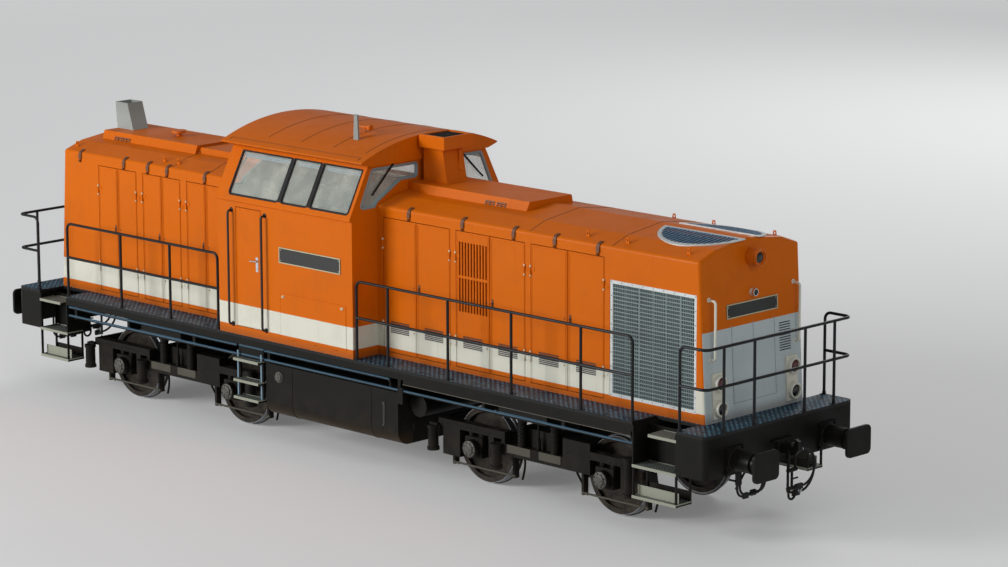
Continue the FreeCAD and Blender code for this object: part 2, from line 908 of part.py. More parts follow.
def make_pot(place, sign, low, top, bracket):
    """A collared round pot and the bracket that ties it to the side frame."""
    across = f"{sign} * pot_across"
    pieces = [rod("pot", "pot_radius", place, across, (up(low), up(top)))]
    for height in (low, f"{top} - pot_collar_height"):
        pieces.append(rod("pot_collar", "pot_radius + pot_collar", place, across,
                          (up(height), up(f"{height} + pot_collar_height"))))
    pieces.append(block("pot_bracket", about(place, "pot_radius"),
                        side(sign, "frame_outer - pot_bracket", "pot_across"),
                        (up(bracket), up(f"{bracket} + pot_bracket"))))
    return pieces


def make_running_gear(end, centre):
    pieces = []
    for axle in ("half_wheelbase", "-half_wheelbase"):
        place = f"({centre} + {axle})"
        for sign in (1, -1):
            housing = block("axle_box", about(place, "box_half"), side(sign, "box_inner", "box_outer"),
                            (up("box_low"), up("box_top")))
            bore = rod("axle_box_bore", "journal_radius + running_gap", place,
                       side(sign, "box_inner", "journal_end + 5 * running_gap"), AXLE_HEIGHT)
            face = "box_outer + box_cover_depth"
            cover = rod("axle_box_cover", "box_cover_radius", place, side(sign, "box_outer", face),
                        AXLE_HEIGHT)
            cap = rod("axle_box_cap", "box_cap_radius", place, side(sign, face, f"{face} + box_cap_depth"),
                      AXLE_HEIGHT)
            springs = [rod("axle_box_spring", "box_spring_radius", f"{place} + {step} * box_spring_place",
                           f"{sign} * (frame_inner + frame_outer) / 2", (up("box_top"), up("frame_low")))
                       for step in (1, -1)]
            pieces.append(fused("axle_box_set",
                                [cut("axle_box_bored", housing, [bore]), cover, cap] + springs))
            pieces.append(make_brakes(place, sign))
    for sign in (1, -1):
        for place in (f"{centre} - bolster_spring_rear", f"{centre} + bolster_spring_front"):
            pieces.append(make_bolster_spring(place, f"{sign} * bolster_spring_across"))
        pieces.append(make_damper(f"{centre} - damper_place", f"{sign} * bolster_spring_across"))
    node(f"running_gear_{end}", together(f"running_gear_{end}", pieces))


def make_bolster_spring(place, across):
    low = up("shelf_top")
    high = up("frame_bottom - running_gap")
    return fused("bolster_spring", [
        rod("spring_seat", "spring_seat_radius", place, across, (low, f"{low} + spring_seat_height")),
        rod("spring_coils", "bolster_spring_radius", place, across, (low, high)),
        rod("spring_cap", "spring_seat_radius", place, across, (f"{high} - spring_seat_height", high)),
    ])


def make_damper(place, across):
    return fused("damper", [
        rod("damper_body", "damper_radius", place, across, (up("shelf_top"), up("damper_top"))),
        rod("damper_rod", "damper_rod_radius", place, across,
            (up("damper_top"), up("frame_bottom - running_gap"))),
    ])


def make_brakes(place, sign):
    """A shoe each side of one wheel, hung from the frame, and the rod that ties them."""
    tread = rod("tread", "wheel_radius + shoe_clearance", place,
                side(sign, "shoe_inner - 1", "brake_rod_across - brake_rod_radius"), AXLE_HEIGHT)
    far = "wheel_radius + shoe_clearance + shoe_depth"
    pieces = []
    for step in (1, -1):
        back = f"{step} * ({place}) + {far}"
        lump = block("brake_shoe", side(step, f"{back} - shoe_block", back),
                     side(sign, "shoe_inner", "shoe_outer"), (up("shoe_low"), up("shoe_top")))
        pieces.append(cut("brake_shoe_worn", lump, [tread]))
        hang = about(f"{place} + {step} * ({far} - hanger_half)", "hanger_half")
        pieces.append(block("brake_hanger", hang, side(sign, "shoe_outer", "frame_inner"),
                            (up("shoe_top - hanger_overlap"), up("frame_low + hanger_overlap"))))
        pieces.append(block("brake_lever", hang, side(sign, "shoe_outer", "brake_rod_across + 10"),
                            (up("brake_rod_height - 2 * brake_rod_radius"),
                             up("shoe_top - hanger_overlap"))))
    pieces.append(rod("brake_rod", "brake_rod_radius", about(place, far),
                      f"{sign} * brake_rod_across", up("brake_rod_height")))
    return fused("brake_set", pieces)


for end, centre in BOGIES.items():
    make_bogie_frame(end, centre)
    make_running_gear(end, centre)

# ------------------------------------------------------------------------------------------
# Underframe, deck, tank, steps
# ------------------------------------------------------------------------------------------

# where the corner recess for the steps begins, at each end
ENDS = [(1, "recess_front_end"), (-1, "recess_rear_end")]
DECK_LOW = up("deck_top - deck_thickness")
DECK_TOP = up("deck_top")
FRAME_LOW = up("frame_bottom")
PIPE_Y = "deck_half_width - pipe_inset"
OUTRIGGERS = [
    "recess_front_end - outrigger_set",
    "bogie_place + outrigger_spread",
    "bogie_place - outrigger_spread",
    "tank_front + outrigger_half",
]


def make_end_beam(sign):
    """Buffer beam with rounded corners and the side plates of the end platform."""
    shape = [
        ("beam_inner", "-deck_half_width"),
        ("half_body_length", "-deck_half_width"),
        ("half_body_length", "deck_half_width"),
        ("beam_inner", "deck_half_width"),
    ]
    points = [(f"{sign} * {along}", across) for along, across in shape]
    whole = prism("end_beam", "XY", points, (up("beam_low"), DECK_LOW), rounded=("beam_corner", (1, 2)))
    hollow = block("end_beam_hollow", side(sign, "beam_inner - 1", "half_body_length - beam_thickness"),
                   both("deck_half_width - beam_thickness"), (up("beam_low - 1"), DECK_LOW))
    return cut("end_beam_open", whole, [hollow])


def make_pipes(sign):
    """The air pipes under the fascia, and the valve that hangs from them before the tank."""
    across = f"{sign} * ({PIPE_Y})"
    low = up("pipe_height")
    high = up("upper_pipe_height")
    turn = "tank_front - upper_pipe_end"
    pieces = [rod("air_pipe", "pipe_radius", run, across, low)
              for run in (("-recess_rear_end", "ladder_rear - pipe_clear"),
                          ("ladder_front + pipe_clear", "recess_front_end"))]
    pieces.append(rod("upper_pipe", "pipe_radius", ("-recess_rear_end", "ladder_rear - pipe_clear"), across,
                      high))
    pieces.append(rod("upper_pipe", "pipe_radius", ("ladder_front + pipe_clear", turn), across, high))
    pieces.append(elbow("upper_pipe_bend", "pipe_radius", "pipe_bend",
                        (turn, across, f"{high} - pipe_bend"),
                        (0, 0, 1), (1, 0, 0)))
    pieces.append(rod("upper_pipe_drop", "pipe_radius", f"{turn} + pipe_bend", across,
                      (low, f"{high} - pipe_bend")))
    pieces.append(block("valve",
                        ("tank_front + outrigger_half", "tank_front + outrigger_half + valve_length"),
                        about(across, "valve_half"), (up("valve_low"), up("valve_top"))))
    return pieces


def make_underframe():
    pieces = [make_end_beam(1), make_end_beam(-1)]
    inside = "half_body_length - beam_thickness"
    for sign in (1, -1):
        pieces.append(block("main_sill", both(inside), side(sign, "sill_inner", "sill_outer"),
                            (FRAME_LOW, DECK_LOW)))
        pieces.append(block("fascia", ("-recess_rear_end", "recess_front_end"),
                            side(sign, "deck_half_width - fascia_thickness", "deck_half_width"),
                            (up("fascia_low"), DECK_LOW)))
        pieces.extend(make_pipes(sign))
        for place in OUTRIGGERS:
            for along in (1, -1):
                pieces.append(block("outrigger", about(f"{along} * ({place})", "outrigger_half"),
                                    side(sign, "sill_outer", "deck_half_width - fascia_thickness"),
                                    (FRAME_LOW, DECK_LOW)))
    for centre in list(BOGIES.values()):
        pieces.append(block("bolster", about(centre, "bolster_half"),
                            both("deck_half_width - fascia_thickness"),
                            (FRAME_LOW, up("frame_bottom + bolster_thickness"))))
    far = "recess_front_end - outrigger_set"
    for place in ("0", "cross_beam_place", "-cross_beam_place", far, f"-({far})"):
        pieces.append(block("cross_beam", about(place, "cross_beam_half"), both("sill_inner"),
                            (FRAME_LOW, DECK_LOW)))
    node("underframe", fused("underframe", pieces))


def make_deck():
    points = [
        ("-half_body_length", "-deck_half_width"),
        ("-beam_inner", "-deck_half_width"),
        ("-beam_inner", "-recess_across"),
        ("-recess_rear_end", "-recess_across"),
        ("-recess_rear_end", "-deck_half_width"),
        ("recess_front_end", "-deck_half_width"),
        ("recess_front_end", "-recess_across"),
        ("beam_inner", "-recess_across"),
        ("beam_inner", "-deck_half_width"),
        ("half_body_length", "-deck_half_width"),
    ]
    points += [(along, "deck_half_width" if across == "-deck_half_width" else "recess_across")
               for along, across in reversed(points)]
    node("deck", prism("deck", "XY", points, (DECK_LOW, DECK_TOP), rounded=("beam_corner", (0, 9, 10, 19))))


def make_tank():
    points = [
        ("-tank_half_width", FRAME_LOW),
        ("-tank_half_width", up("tank_low")),
        ("tank_half_width", up("tank_low")),
        ("tank_half_width", FRAME_LOW),
    ]
    tank = prism("tank", "YZ", points, ("tank_rear", "tank_front"), rounded=("tank_corner", (1, 2)))
    reservoir = rod("reservoir", "reservoir_radius", "reservoir_place", both("reservoir_half_length"),
                    up("reservoir_height"))
    straps = [block("reservoir_strap", about("reservoir_place", "strap_half"),
                    about(f"{sign} * strap_place", "strap_half_width"), (up("reservoir_height"), FRAME_LOW))
              for sign in (1, -1)]
    node("fuel_tank", together("fuel_tank", [tank, fused("reservoir_hung", [reservoir] + straps)]))


def make_corner_steps(along, recess, sign):
    """Three treads let into a corner of the body, hung on posts at the beam."""
    inner = "deck_half_width - step_depth"
    across = side(sign, inner, "deck_half_width")
    pieces = []
    for height, start in (("step_top", "step_start"), ("step_middle", recess), ("step_low", recess)):
        pieces.append(block("tread", side(along, start, "beam_inner"), across,
                            (up(f"{height} - step_thickness"), up(height))))
    ends = side(along, f"{recess} + 2 * step_inset", "beam_inner - 2 * step_inset")
    pieces.append(block("kick_plate", ends,
                        side(sign, f"{inner} + 2 * step_inset", f"{inner} + kick_thickness"),
                        (up("step_low"), up("step_low + kick_height"))))
    pieces.append(block("step_side", side(along, recess, f"{recess} + step_side_thickness"),
                        side(sign, "recess_across", "deck_half_width"),
                        (up("step_middle - step_thickness"), DECK_LOW)))
    bottom = up("step_low - step_thickness")
    edge = "deck_half_width - step_inset"
    for low, high in ((f"{inner} + step_inset", f"{inner} + step_post"), (f"{edge} - step_post", edge)):
        pieces.append(block("step_post",
                            side(along, f"{recess} + step_inset", f"{recess} + step_side_thickness"),
                            side(sign, low, high),
                            (f"{bottom} - step_inset", up("step_middle - step_inset"))))
        pieces.append(block("step_hanger", side(along, "beam_inner - step_side_thickness", "beam_inner"),
                            side(sign, low, high), (f"{bottom} - step_inset", DECK_LOW)))
    return fused("corner_steps", pieces)


def make_ladder(sign):
    """The ladder under a cab door."""
    back = side(sign, "deck_half_width - fascia_thickness - ladder_rail",
                "deck_half_width - fascia_thickness")
    pieces = [block("ladder_rail", (start, f"{start} + ladder_rail"), back,
                    (up("ladder_low - step_thickness"), up("ladder_top")))
              for start in ("ladder_rear", "ladder_front - ladder_rail")]
    pieces.append(block("ladder_plate", ("ladder_rear", "ladder_front"), back,
                        (up("ladder_top - step_thickness"), DECK_LOW)))
    for height in ("ladder_low", "ladder_middle", "ladder_top"):
        pieces.append(block("rung", ("ladder_rear", "ladder_front"), side(sign, "ladder_in", "ladder_out"),
                            (up(f"{height} - step_thickness"), up(height))))
    return fused("cab_ladder", pieces)


def make_steps():
    pieces = [make_corner_steps(along, recess, sign) for along, recess in ENDS for sign in (1, -1)]
    pieces += [make_ladder(sign) for sign in (1, -1)]
    node("steps", together("steps", pieces))


# ------------------------------------------------------------------------------------------
# Buffers, draw hooks and brake hoses
# ------------------------------------------------------------------------------------------


def make_buffers():
    pieces = []
    height = up("buffer_height")
    for along in (1, -1):
        for sign in (1, -1):
            across = f"{sign} * buffer_across"
            face = "buffer_face"
            back = f"{face} - buffer_plate_thickness"
            seat_front = "half_body_length + buffer_seat_thickness"
            casing_front = f"{seat_front} + buffer_casing_length"
            corners = [(f"{across} + {a} * buffer_plate_half_width",
                        f"{height} + {b} * buffer_plate_half_height")
                       for a, b in ((-1, -1), (1, -1), (1, 1), (-1, 1))]
            pieces.append(fused("buffer", [
                block("buffer_seat", side(along, "half_body_length", seat_front),
                      about(across, "buffer_seat_half"),
                      about(height, "buffer_seat_half")),
                rod("buffer_casing", "buffer_casing_radius", side(along, seat_front, casing_front), across,
                    height),
                rod("buffer_stem", "buffer_stem_radius", side(along, casing_front, back), across, height),
                prism("buffer_plate", "YZ", corners, side(along, back, face),
                      rounded=("buffer_plate_corner", (0, 1, 2, 3))),
            ]))
    node("buffers", together("buffers", pieces))


def make_coupling(along):
    """A draw hook with its guard bar, and the screw coupling hanging from it."""
    height = "hook_height"
    profile = [
        ("half_body_length", f"{height} - hook_half_depth"),
        ("hook_reach - hook_point", f"{height} - hook_half_depth"),
        ("hook_reach", f"{height} + hook_half_depth / 2"),
        ("hook_reach", f"{height} + hook_rise - hook_point / 2"),
        ("hook_reach - hook_point", f"{height} + hook_rise"),
        ("hook_reach - hook_point", f"{height} + hook_half_depth * 1.5"),
        ("hook_reach - 2 * hook_point", f"{height} + hook_half_depth"),
        ("half_body_length", f"{height} + hook_half_depth"),
    ]
    points = [(f"{along} * ({place})", up(level)) for place, level in profile]
    hook = prism("hook", "XZ", points, both("hook_half_width"))
    place = f"{along} * link_place"
    out = "link_across + link_radius * 1.4"
    pieces = [hook, rod("link_pin", "link_radius * 1.3", place, both(out), up(height))]
    for level in ("link_middle", "link_lower"):
        pieces.append(rod("link_nut", "link_nut_radius", place, both(out), up(level)))
    for sign in (1, -1):
        across = f"{sign} * link_across"
        pieces.append(rod("link", "link_radius", place, across, (up("link_middle"), up(height))))
        pieces.append(rod("bow", "link_radius", place, across,
                          (up("link_low + link_across"), up("link_lower"))))
        pieces.append(elbow("bow_bend", "link_radius", "link_across",
                            (place, "0", up("link_low + link_across")),
                            (0, sign, 0), (0, 0, -1)))
    middle = "(link_middle + link_lower) / 2"
    pieces.append(rod("link_screw", "link_screw_radius", place, "0", (up("link_lower"), up("link_middle"))))
    pieces.append(rod("link_handle", "link_radius - 4", place, ("0", "link_handle"), up(middle)))
    pieces.append(block("hook_bar", side(along, "half_body_length", "half_body_length + hook_bar_depth"),
                        both("hook_bar_half"),
                        (up("hook_bar_height"), up("hook_bar_height + hook_bar_thickness"))))
    pieces.append(block("hook_seat",
                        side(along, "half_body_length", "half_body_length + hook_bar_thickness"),
                        both("hook_bar_half / 2"),
                        (up("hook_height - 2 * hook_half_depth"), up("hook_bar_height"))))
    return fused("coupling", pieces)


def make_couplings():
    node("couplings", together("couplings", [make_coupling(along) for along in (1, -1)]))


def make_front_hoses(along):
    """Two hoses that leave cocks on the beam, swing out and hang to heads on one stay."""
    pieces = []
    beam = "half_body_length"
    top = up("hose_height")
    low = f"{top} - 2 * hose_bend"
    for number in (0, 1):
        # the second hose is the smaller and hangs further out
        bend = f"(hose_bend - {number} * hose_second)"
        place = f"{along} * (hose_place + {number} * hose_second)"
        middle = f"{top} - {bend}"
        pieces.append(rod("hose_start", "hose_radius", place, ("hose_start", "hose_start + cock_half"),
                          top))
        for turn in ((0, 0, 1), (0, 0, -1)):
            pieces.append(elbow("hose_bend", "hose_radius", bend, (place, "hose_start + cock_half", middle),
                                turn, (0, 1, 0)))
        foot = f"{middle} - {bend}"
        pieces.append(rod("hose_end", "hose_radius", place, ("hose_stay", "hose_start + cock_half"), foot))
        pieces.append(block("hose_head", about(place, "head_half / 2"),
                            ("hose_stay - head_half", "hose_stay + head_length"),
                            (f"{foot} - head_half", f"{foot} + head_half")))
    pieces.append(block("hose_cock", side(along, beam, "hose_place + hose_second + cock_half"),
                        ("hose_start - 2 * cock_half", "hose_start"), about(top, "cock_half")))
    pieces.append(block("hose_stay", side(along, beam, f"{beam} + 2 * stay_half"),
                        about("hose_stay", "stay_half"), (low, f"{top} - 2 * cock_half")))
    pieces.append(block("hose_rest", side(along, beam, "hose_place + hose_second"),
                        about("hose_stay", "stay_half"), (f"{low} - stay_half", f"{low} + stay_half")))
    return fused("hoses", pieces)


def make_low_hoses(along):
    """Two hoses slung in loops from the beam's lower edge, one behind the other."""
    loops = []
    for number in (0, 1):
        place = f"{along} * (half_body_length - hose_radius - {number} * hose_behind)"
        shift = f"{number} * hose_shift"
        outer = f"-(hose_leg_outer - {shift})"
        inner = f"-(hose_leg_inner - {shift})"
        low = up("hose_leg_low")
        level = f"{low} + hose_leg_bend"
        head = f"{outer} + hose_leg_bend + {number} * head_length"
        leg = (level, up("beam_low"))
        pieces = [rod("hose_leg", "hose_radius", place, across, leg) for across in (outer, inner)]
        for across, out in ((f"{outer} + hose_leg_bend", -1), (f"{inner} - hose_leg_bend", 1)):
            pieces.append(elbow("hose_leg_bend", "hose_radius", "hose_leg_bend", (place, across, level),
                                (0, out, 0), (0, 0, -1)))
        pieces.append(rod("hose_run", "hose_radius", place,
                          (f"{outer} + hose_leg_bend", f"{inner} - hose_leg_bend"), low))
        pieces.append(block("hose_head", about(place, "hose_radius + running_gap"),
                            (head, f"{head} + head_length"),
                            about(low, "head_half")))
        loops.append(fused("low_hose", pieces))
    return together("low_hoses", loops)


def make_brake_hoses():
    node("brake_hoses", together("brake_hoses", [make(along) for along in (1, -1)
                                                 for make in (make_front_hoses, make_low_hoses)]))


make_underframe()
make_deck()
make_tank()
make_steps()
make_buffers()
make_couplings()
make_brake_hoses()

# ------------------------------------------------------------------------------------------
# Railings of bent tube
# ------------------------------------------------------------------------------------------

RAIL_TOP = up("deck_top + hand_rail")
RAIL_MIDDLE = up("deck_top + knee_rail")
RAIL_Y = "deck_half_width - rail_inset"
SIDE_RAILS = [
    # start, end, the posts between as distances from the start
    ("side_rail_front_start", "side_rail_front_end",
     ("front_rail_post_1", "front_rail_post_2", "front_rail_post_3", "front_rail_post_4")),
    ("side_rail_rear_start", "side_rail_rear_end", ("rear_rail_post_1", "rear_rail_post_2")),
]


def make_side_railing(sign, name):
    pieces = []
    across = f"{sign} * ({RAIL_Y})"
    for start, end, posts in SIDE_RAILS:
        bars = [rod("hand_rail", "rail_radius", (f"{start} + rail_bend", f"{end} - rail_bend"), across,
                    RAIL_TOP),
                rod("knee_rail", "rail_radius", (start, end), across, RAIL_MIDDLE)]
        for place, inward, out in ((start, f"{start} + rail_bend", -1), (end, f"{end} - rail_bend", 1)):
            bars.append(rod("end_post", "rail_radius", place, across,
                            (DECK_TOP, f"{RAIL_TOP} - rail_bend")))
            bars.append(elbow("rail_bend", "rail_radius", "rail_bend",
                              (inward, across, f"{RAIL_TOP} - rail_bend"),
                              (out, 0, 0), (0, 0, 1)))
        for place in posts:
            bars.append(rod("post", "rail_radius", f"{start} + {place}", across, (DECK_TOP, RAIL_TOP)))
        pieces.append(fused("side_rail", bars))
    node(name, together(name, pieces))


def make_end_railing(along, name):
    ahead = "half_body_length - rail_inset"
    bars = []
    for height in (RAIL_TOP, RAIL_MIDDLE):
        bars.append(rod("cross_rail", "rail_radius", f"{along} * ({ahead})",
                        both(f"{RAIL_Y} - rail_bend"), height))
        for sign in (1, -1):
            across = f"{sign} * ({RAIL_Y})"
            bars.append(elbow("corner_bend", "rail_radius", "rail_bend",
                              (f"{along} * ({ahead} - rail_bend)", f"{sign} * ({RAIL_Y} - rail_bend)",
                               height),
                              (along, 0, 0), (0, sign, 0)))
            start = "end_rail_start + rail_bend" if height == RAIL_TOP else "end_rail_start"
            bars.append(rod("return_rail", "rail_radius", side(along, start, f"{ahead} - rail_bend"),
                            across, height))
    for sign in (1, -1):
        across = f"{sign} * ({RAIL_Y})"
        bars.append(rod("end_post", "rail_radius", f"{along} * end_rail_start", across,
                        (DECK_TOP, f"{RAIL_TOP} - rail_bend")))
        bars.append(elbow("rail_bend", "rail_radius", "rail_bend",
                          (f"{along} * (end_rail_start + rail_bend)", across, f"{RAIL_TOP} - rail_bend"),
                          (-along, 0, 0), (0, 0, 1)))
        for place in ("end_post_inner", "end_post_outer"):
            bars.append(rod("post", "rail_radius", f"{along} * ({ahead})", f"{sign} * {place}",
                            (DECK_TOP, RAIL_TOP)))
    node(name, fused(name, bars))


make_side_railing(-1, "railing_right")
make_side_railing(1, "railing_left")
make_end_railing(1, "railing_front")
make_end_railing(-1, "railing_rear")

# ------------------------------------------------------------------------------------------
# Hoods: shells with door openings, roofs, doors, grilles, fan, engine
# ------------------------------------------------------------------------------------------

# each bay of doors from the cab outwards: the opening's edge nearer the cab and its two leaves
BAYS = {
    "front": [
        ("front_bay_1", "front_leaf_1a", "front_leaf_1b"),
        ("front_bay_2", "front_leaf_2a", "front_leaf_2b"),
        ("front_bay_3", "front_leaf_3a", "front_leaf_3b"),
    ],
    "rear": [
        ("rear_bay_1", "rear_leaf_1a", "rear_leaf_1b"),
        ("rear_bay_2", "rear_leaf_2a", "rear_leaf_2b"),
        ("rear_bay_3", "rear_leaf_3a", "rear_leaf_3b"),
    ],
}
# along each hood: direction away from the cab, cab's wall, foot and head of the end wall
HOODS = {
    "front": (1, "cab_front", "front_hood_foot", "front_hood_head"),
    "rear": (-1, "cab_rear", "rear_hood_foot", "rear_hood_head"),
}
SPLIT = up("hood_split")
EAVE = up("hood_eave")
SHOULDER = f"{EAVE} + roof_shoulder_rise"
RIDGE = f"{EAVE} + roof_ridge_rise"
SIDE_NAMES = {1: "left", -1: "right"}


def hood_face(end, height):
    """Where a hood's leaning end face stands at a height above the rail."""
    along, near, foot, head = HOODS[end]
    return f"({foot} + ({head} - {foot}) * ({height} - deck_top) / (hood_split - deck_top))"


def bay_places(end):
    """Each bay's number, its edge nearer the cab, its middle seam and its far edge."""
    along = HOODS[end][0]
    for number, (edge, near_leaf, far_leaf) in enumerate(BAYS[end], start=1):
        seam = f"({edge} + {along} * {near_leaf})"
        yield number, edge, seam, f"({seam} + {along} * {far_leaf})"


def face_slots(end):
    """Slots through the end wall, on the left."""
    along, near, foot, head = HOODS[end]
    return [block("face_slot", side(along, f"{along} * {head} - hood_wall - 1", f"{along} * {foot} + 1"),
                  ("face_louvre_inner", "face_louvre_outer"),
                  (up(f"face_louvre_low + {row} * face_louvre_pitch"),
                   up(f"face_louvre_low + {row} * face_louvre_pitch + face_louvre_slot")))
            for row in range(12)]


def make_hood(end):
    along, near, foot, head = HOODS[end]
    outer = prism(f"hood_{end}_outer", "XZ",
                  [(near, DECK_TOP), (foot, DECK_TOP), (head, SPLIT), (near, SPLIT)],
                  both("hood_half_width"), rounded=("hood_corner", [(1, 2, 0), (1, 2, 1)]))
    inner = prism(f"hood_{end}_inner", "XZ",
                  [(f"{near} + {along} * hood_wall", f"{DECK_TOP} - 1"),
                   (f"{foot} - ({along}) * hood_wall", f"{DECK_TOP} - 1"),
                   (f"{head} - ({along}) * hood_wall", f"{SPLIT} + 1"),
                   (f"{near} + {along} * hood_wall", f"{SPLIT} + 1")],
                  both("hood_half_width - hood_wall"))
    tools = [inner] + face_slots(end)
    for sign in (1, -1):
        wall = side(sign, "hood_half_width - hood_wall - 1", "hood_half_width + 1")
        for number, near_edge, seam, far_edge in bay_places(end):
            opening = (near_edge, far_edge) if along > 0 else (far_edge, near_edge)
            tools.append(block("door_opening", opening, wall, (up("door_low"), up("door_head"))))
        if end == "front":
            tools.append(block("grille_opening", ("grille_rear", "grille_front"), wall,
                               (up("grille_low"), up("grille_top"))))
    pieces = [cut(f"hood_{end}_shell", outer, tools)]
    for sign in (1, -1):
        for number, near_edge, seam, far_edge in bay_places(end):
            pieces.extend(fixed_hinges(sign, near_edge, -along))
            pieces.extend(fixed_hinges(sign, far_edge, along))
    if end == "front":
        pieces.append(block("fan_beam", about("fan_place", "fan_beam_half"),
                            both("hood_half_width - hood_wall"),
                            (up("fan_height - fan_beam_drop"),
                             up("fan_height - fan_beam_drop + fan_beam_height"))))
        pieces.append(rod("fan_spindle", "fan_shaft_radius", "fan_place", "0",
                          (up("fan_height - fan_beam_drop + fan_beam_height"),
                           up("fan_height + fan_hub_rise"))))
    node(f"hood_{end}", fused(f"hood_{end}", pieces))


def hinge_heights():
    """Lower ends of the two hinges of a hood door."""
    return (up("door_low + hinge_end"), up("door_head - hinge_end - 2 * hinge_length"))


def fixed_hinges(sign, place, outward):
    """The halves of a door's hinges that stay on the post; outward points away from the door."""
    pieces = []
    for low in hinge_heights():
        span = (low, f"{low} + hinge_length - running_gap")
        pin_x = f"({place} - {outward} * door_gap / 2)"
        pieces.append(rod("hinge_knuckle", "hinge_radius", pin_x, f"{sign} * (hood_half_width + door_edge)",
                          span))
        strap = (f"{place}", f"{place} + {outward} * hinge_strap")
        pieces.append(block("hinge_strap", strap if outward > 0 else strap[::-1],
                            side(sign, "hood_half_width", "hood_half_width + hinge_strap_thickness"), span))
    return pieces


def door_slots(end, number, leaf, middle, wall):
    """Slots through a leaf of the front hood: a low group on each, and a tall louvre on one."""
    slots = []
    if end == "front":
        for row in range(7):
            low = f"vent_low + {row} * vent_pitch"
            slots.append(block("vent_slot", about(middle, "vent_half"), wall,
                               (up(low), up(f"{low} + vent_slot"))))
    if (end, number, leaf) == ("front", 2, "a"):
        for row in (0, 1):
            low = f"louvre_low + {row} * louvre_rows_pitch"
            for column in range(10):
                gap = "(louvre_pitch - louvre_slot) / 2"
                start = f"({middle}) - louvre_half + {column} * louvre_pitch + {gap}"
                slots.append(block("louvre_slot", (start, f"{start} + louvre_slot"), wall,
                                   (up(low), up(f"{low} + louvre_height"))))
    return slots


def make_door(end, sign, number, leaf, hinge, free, outward):
    """One leaf from its hinge edge to its free edge; outward points from the leaf over the hinge."""
    near = f"({hinge} - {outward} * door_gap)"
    far = f"({free} + {outward} * door_gap / 2)"
    x = (near, far) if outward < 0 else (far, near)
    sheet_metal = block("leaf", x, side(sign, "hood_half_width - hood_wall", "hood_half_width"),
                        (up("door_low + door_gap"), up("door_head - door_gap")))
    slots = door_slots(end, number, leaf, f"({near} + {far}) / 2",
                       side(sign, "hood_half_width - hood_wall - 1", "hood_half_width + 1"))
    pieces = [cut("leaf_cut", sheet_metal, slots) if slots else sheet_metal]
    for low in hinge_heights():
        span = (f"{low} + hinge_length", f"{low} + 2 * hinge_length")
        pin_x = f"({hinge} - {outward} * door_gap / 2)"
        pieces.append(rod("leaf_knuckle", "hinge_radius", pin_x, f"{sign} * (hood_half_width + door_edge)",
                          span))
        strap = (near, f"{near} - {outward} * hinge_strap")
        if outward > 0:
            strap = strap[::-1]
        pieces.append(block("leaf_strap", strap,
                            side(sign, "hood_half_width", "hood_half_width + hinge_strap_thickness"), span))
        bridge = (pin_x, near) if outward < 0 else (near, pin_x)
        pieces.append(block("leaf_bridge", bridge,
                            side(sign, "hood_half_width + 1",
                                 "hood_half_width + hinge_strap_thickness"), span))
    name = f"door_{end}_{SIDE_NAMES[sign]}_{number}{leaf}"
    node(name, fused(name, pieces))


def make_doors():
    for end, (along, near, foot, head) in HOODS.items():
        for number, near_edge, seam, far_edge in bay_places(end):
            for sign in SIDE_NAMES:
                make_door(end, sign, number, "a", near_edge, seam, -along)
                make_door(end, sign, number, "b", far_edge, seam, along)


def roof_outline(raised):
    """The hood roof's cross-section from its seat on the walls, raised by a distance."""
    return mirrored([
        ("hood_half_width", SPLIT),
        ("hood_half_width", f"{EAVE} + {raised}"),
        ("roof_shoulder", f"{SHOULDER} + {raised}"),
        ("0", f"{RIDGE} + {raised}"),
    ])


def fan_opening(name, radius, band):
    """Upright D shapes either side of the ridge, as wide as the fan's guard less a rim."""
    tall = (SPLIT, f"{RIDGE} + roof_thickness + 100")
    whole = rod(name + "_round", radius, "fan_place", "0", tall)
    ridge = block(name + "_band", about("fan_place", "fan_guard_radius + 1"), both(band),
                  (f"{SPLIT} - 1", f"{RIDGE} + roof_thickness + 101"))
    return cut(name, whole, [ridge])


def make_hood_roof(end):
    along, near, foot, head = HOODS[end]
    span = (near, head) if along > 0 else (head, near)
    far = 1 if along > 0 else 0
    edges = [1, 5] + [(index, index + 1, far) for index in range(6)]
    outer = prism(f"roof_{end}_outer", "YZ", roof_outline("0"), span, rounded=("hood_corner", edges))
    inside = "hood_half_width - roof_seat"
    hollow = prism(f"roof_{end}_hollow", "YZ", mirrored([
        (inside, f"{SPLIT} - 1"),
        (inside, f"{EAVE} - roof_thickness"),
        ("roof_shoulder", f"{SHOULDER} - roof_thickness"),
        ("0", f"{RIDGE} - roof_thickness"),
    ]), (f"{span[0]} + roof_seat", f"{span[1]} - roof_seat"))
    tools = [hollow]
    if end == "front":
        tools.append(fan_opening("fan_well", "fan_guard_radius - fan_guard_rim",
                                 "fan_band + fan_guard_rim"))
    pieces = [cut(f"roof_{end}_shell", outer, tools)]
    pieces += make_front_top() if end == "front" else make_rear_humps()
    pieces += make_lugs(end) + make_stays(end)
    node(f"hood_{end}_roof", fused(f"hood_{end}_roof", pieces))


def make_hump(name, points, half, top, rounded):
    """A raised part of the roof whose sides lean in; points are its half outline from above."""
    low = f"{SHOULDER} - roof_thickness / 2"
    plan = [(along, f"-({across})") for along, across in points] + list(reversed(points))
    upright = prism(name + "_plan", "XY", plan, (low, up(top)),
                    rounded=("hump_corner", rounded) if rounded else None)
    places = [along for along, across in points]
    leaning = prism(name + "_lean", "YZ", mirrored([(half, low), (f"{half} - hump_lean", up(top))]),
                    (f"{places[0]} - 1", f"{places[-1]} + 1"))
    return common(name, upright, leaning)


def make_front_top():
    """The front hood's raised middle and the exhaust duct on it."""
    points = [
        ("cab_front", "hump_half_cab"),
        ("hump_taper_end", "hump_half"),
        ("hump_front", "hump_half"),
    ]
    return [make_hump("front_hump", points, "hump_half", "hump_top", (2, 3)), make_duct()]


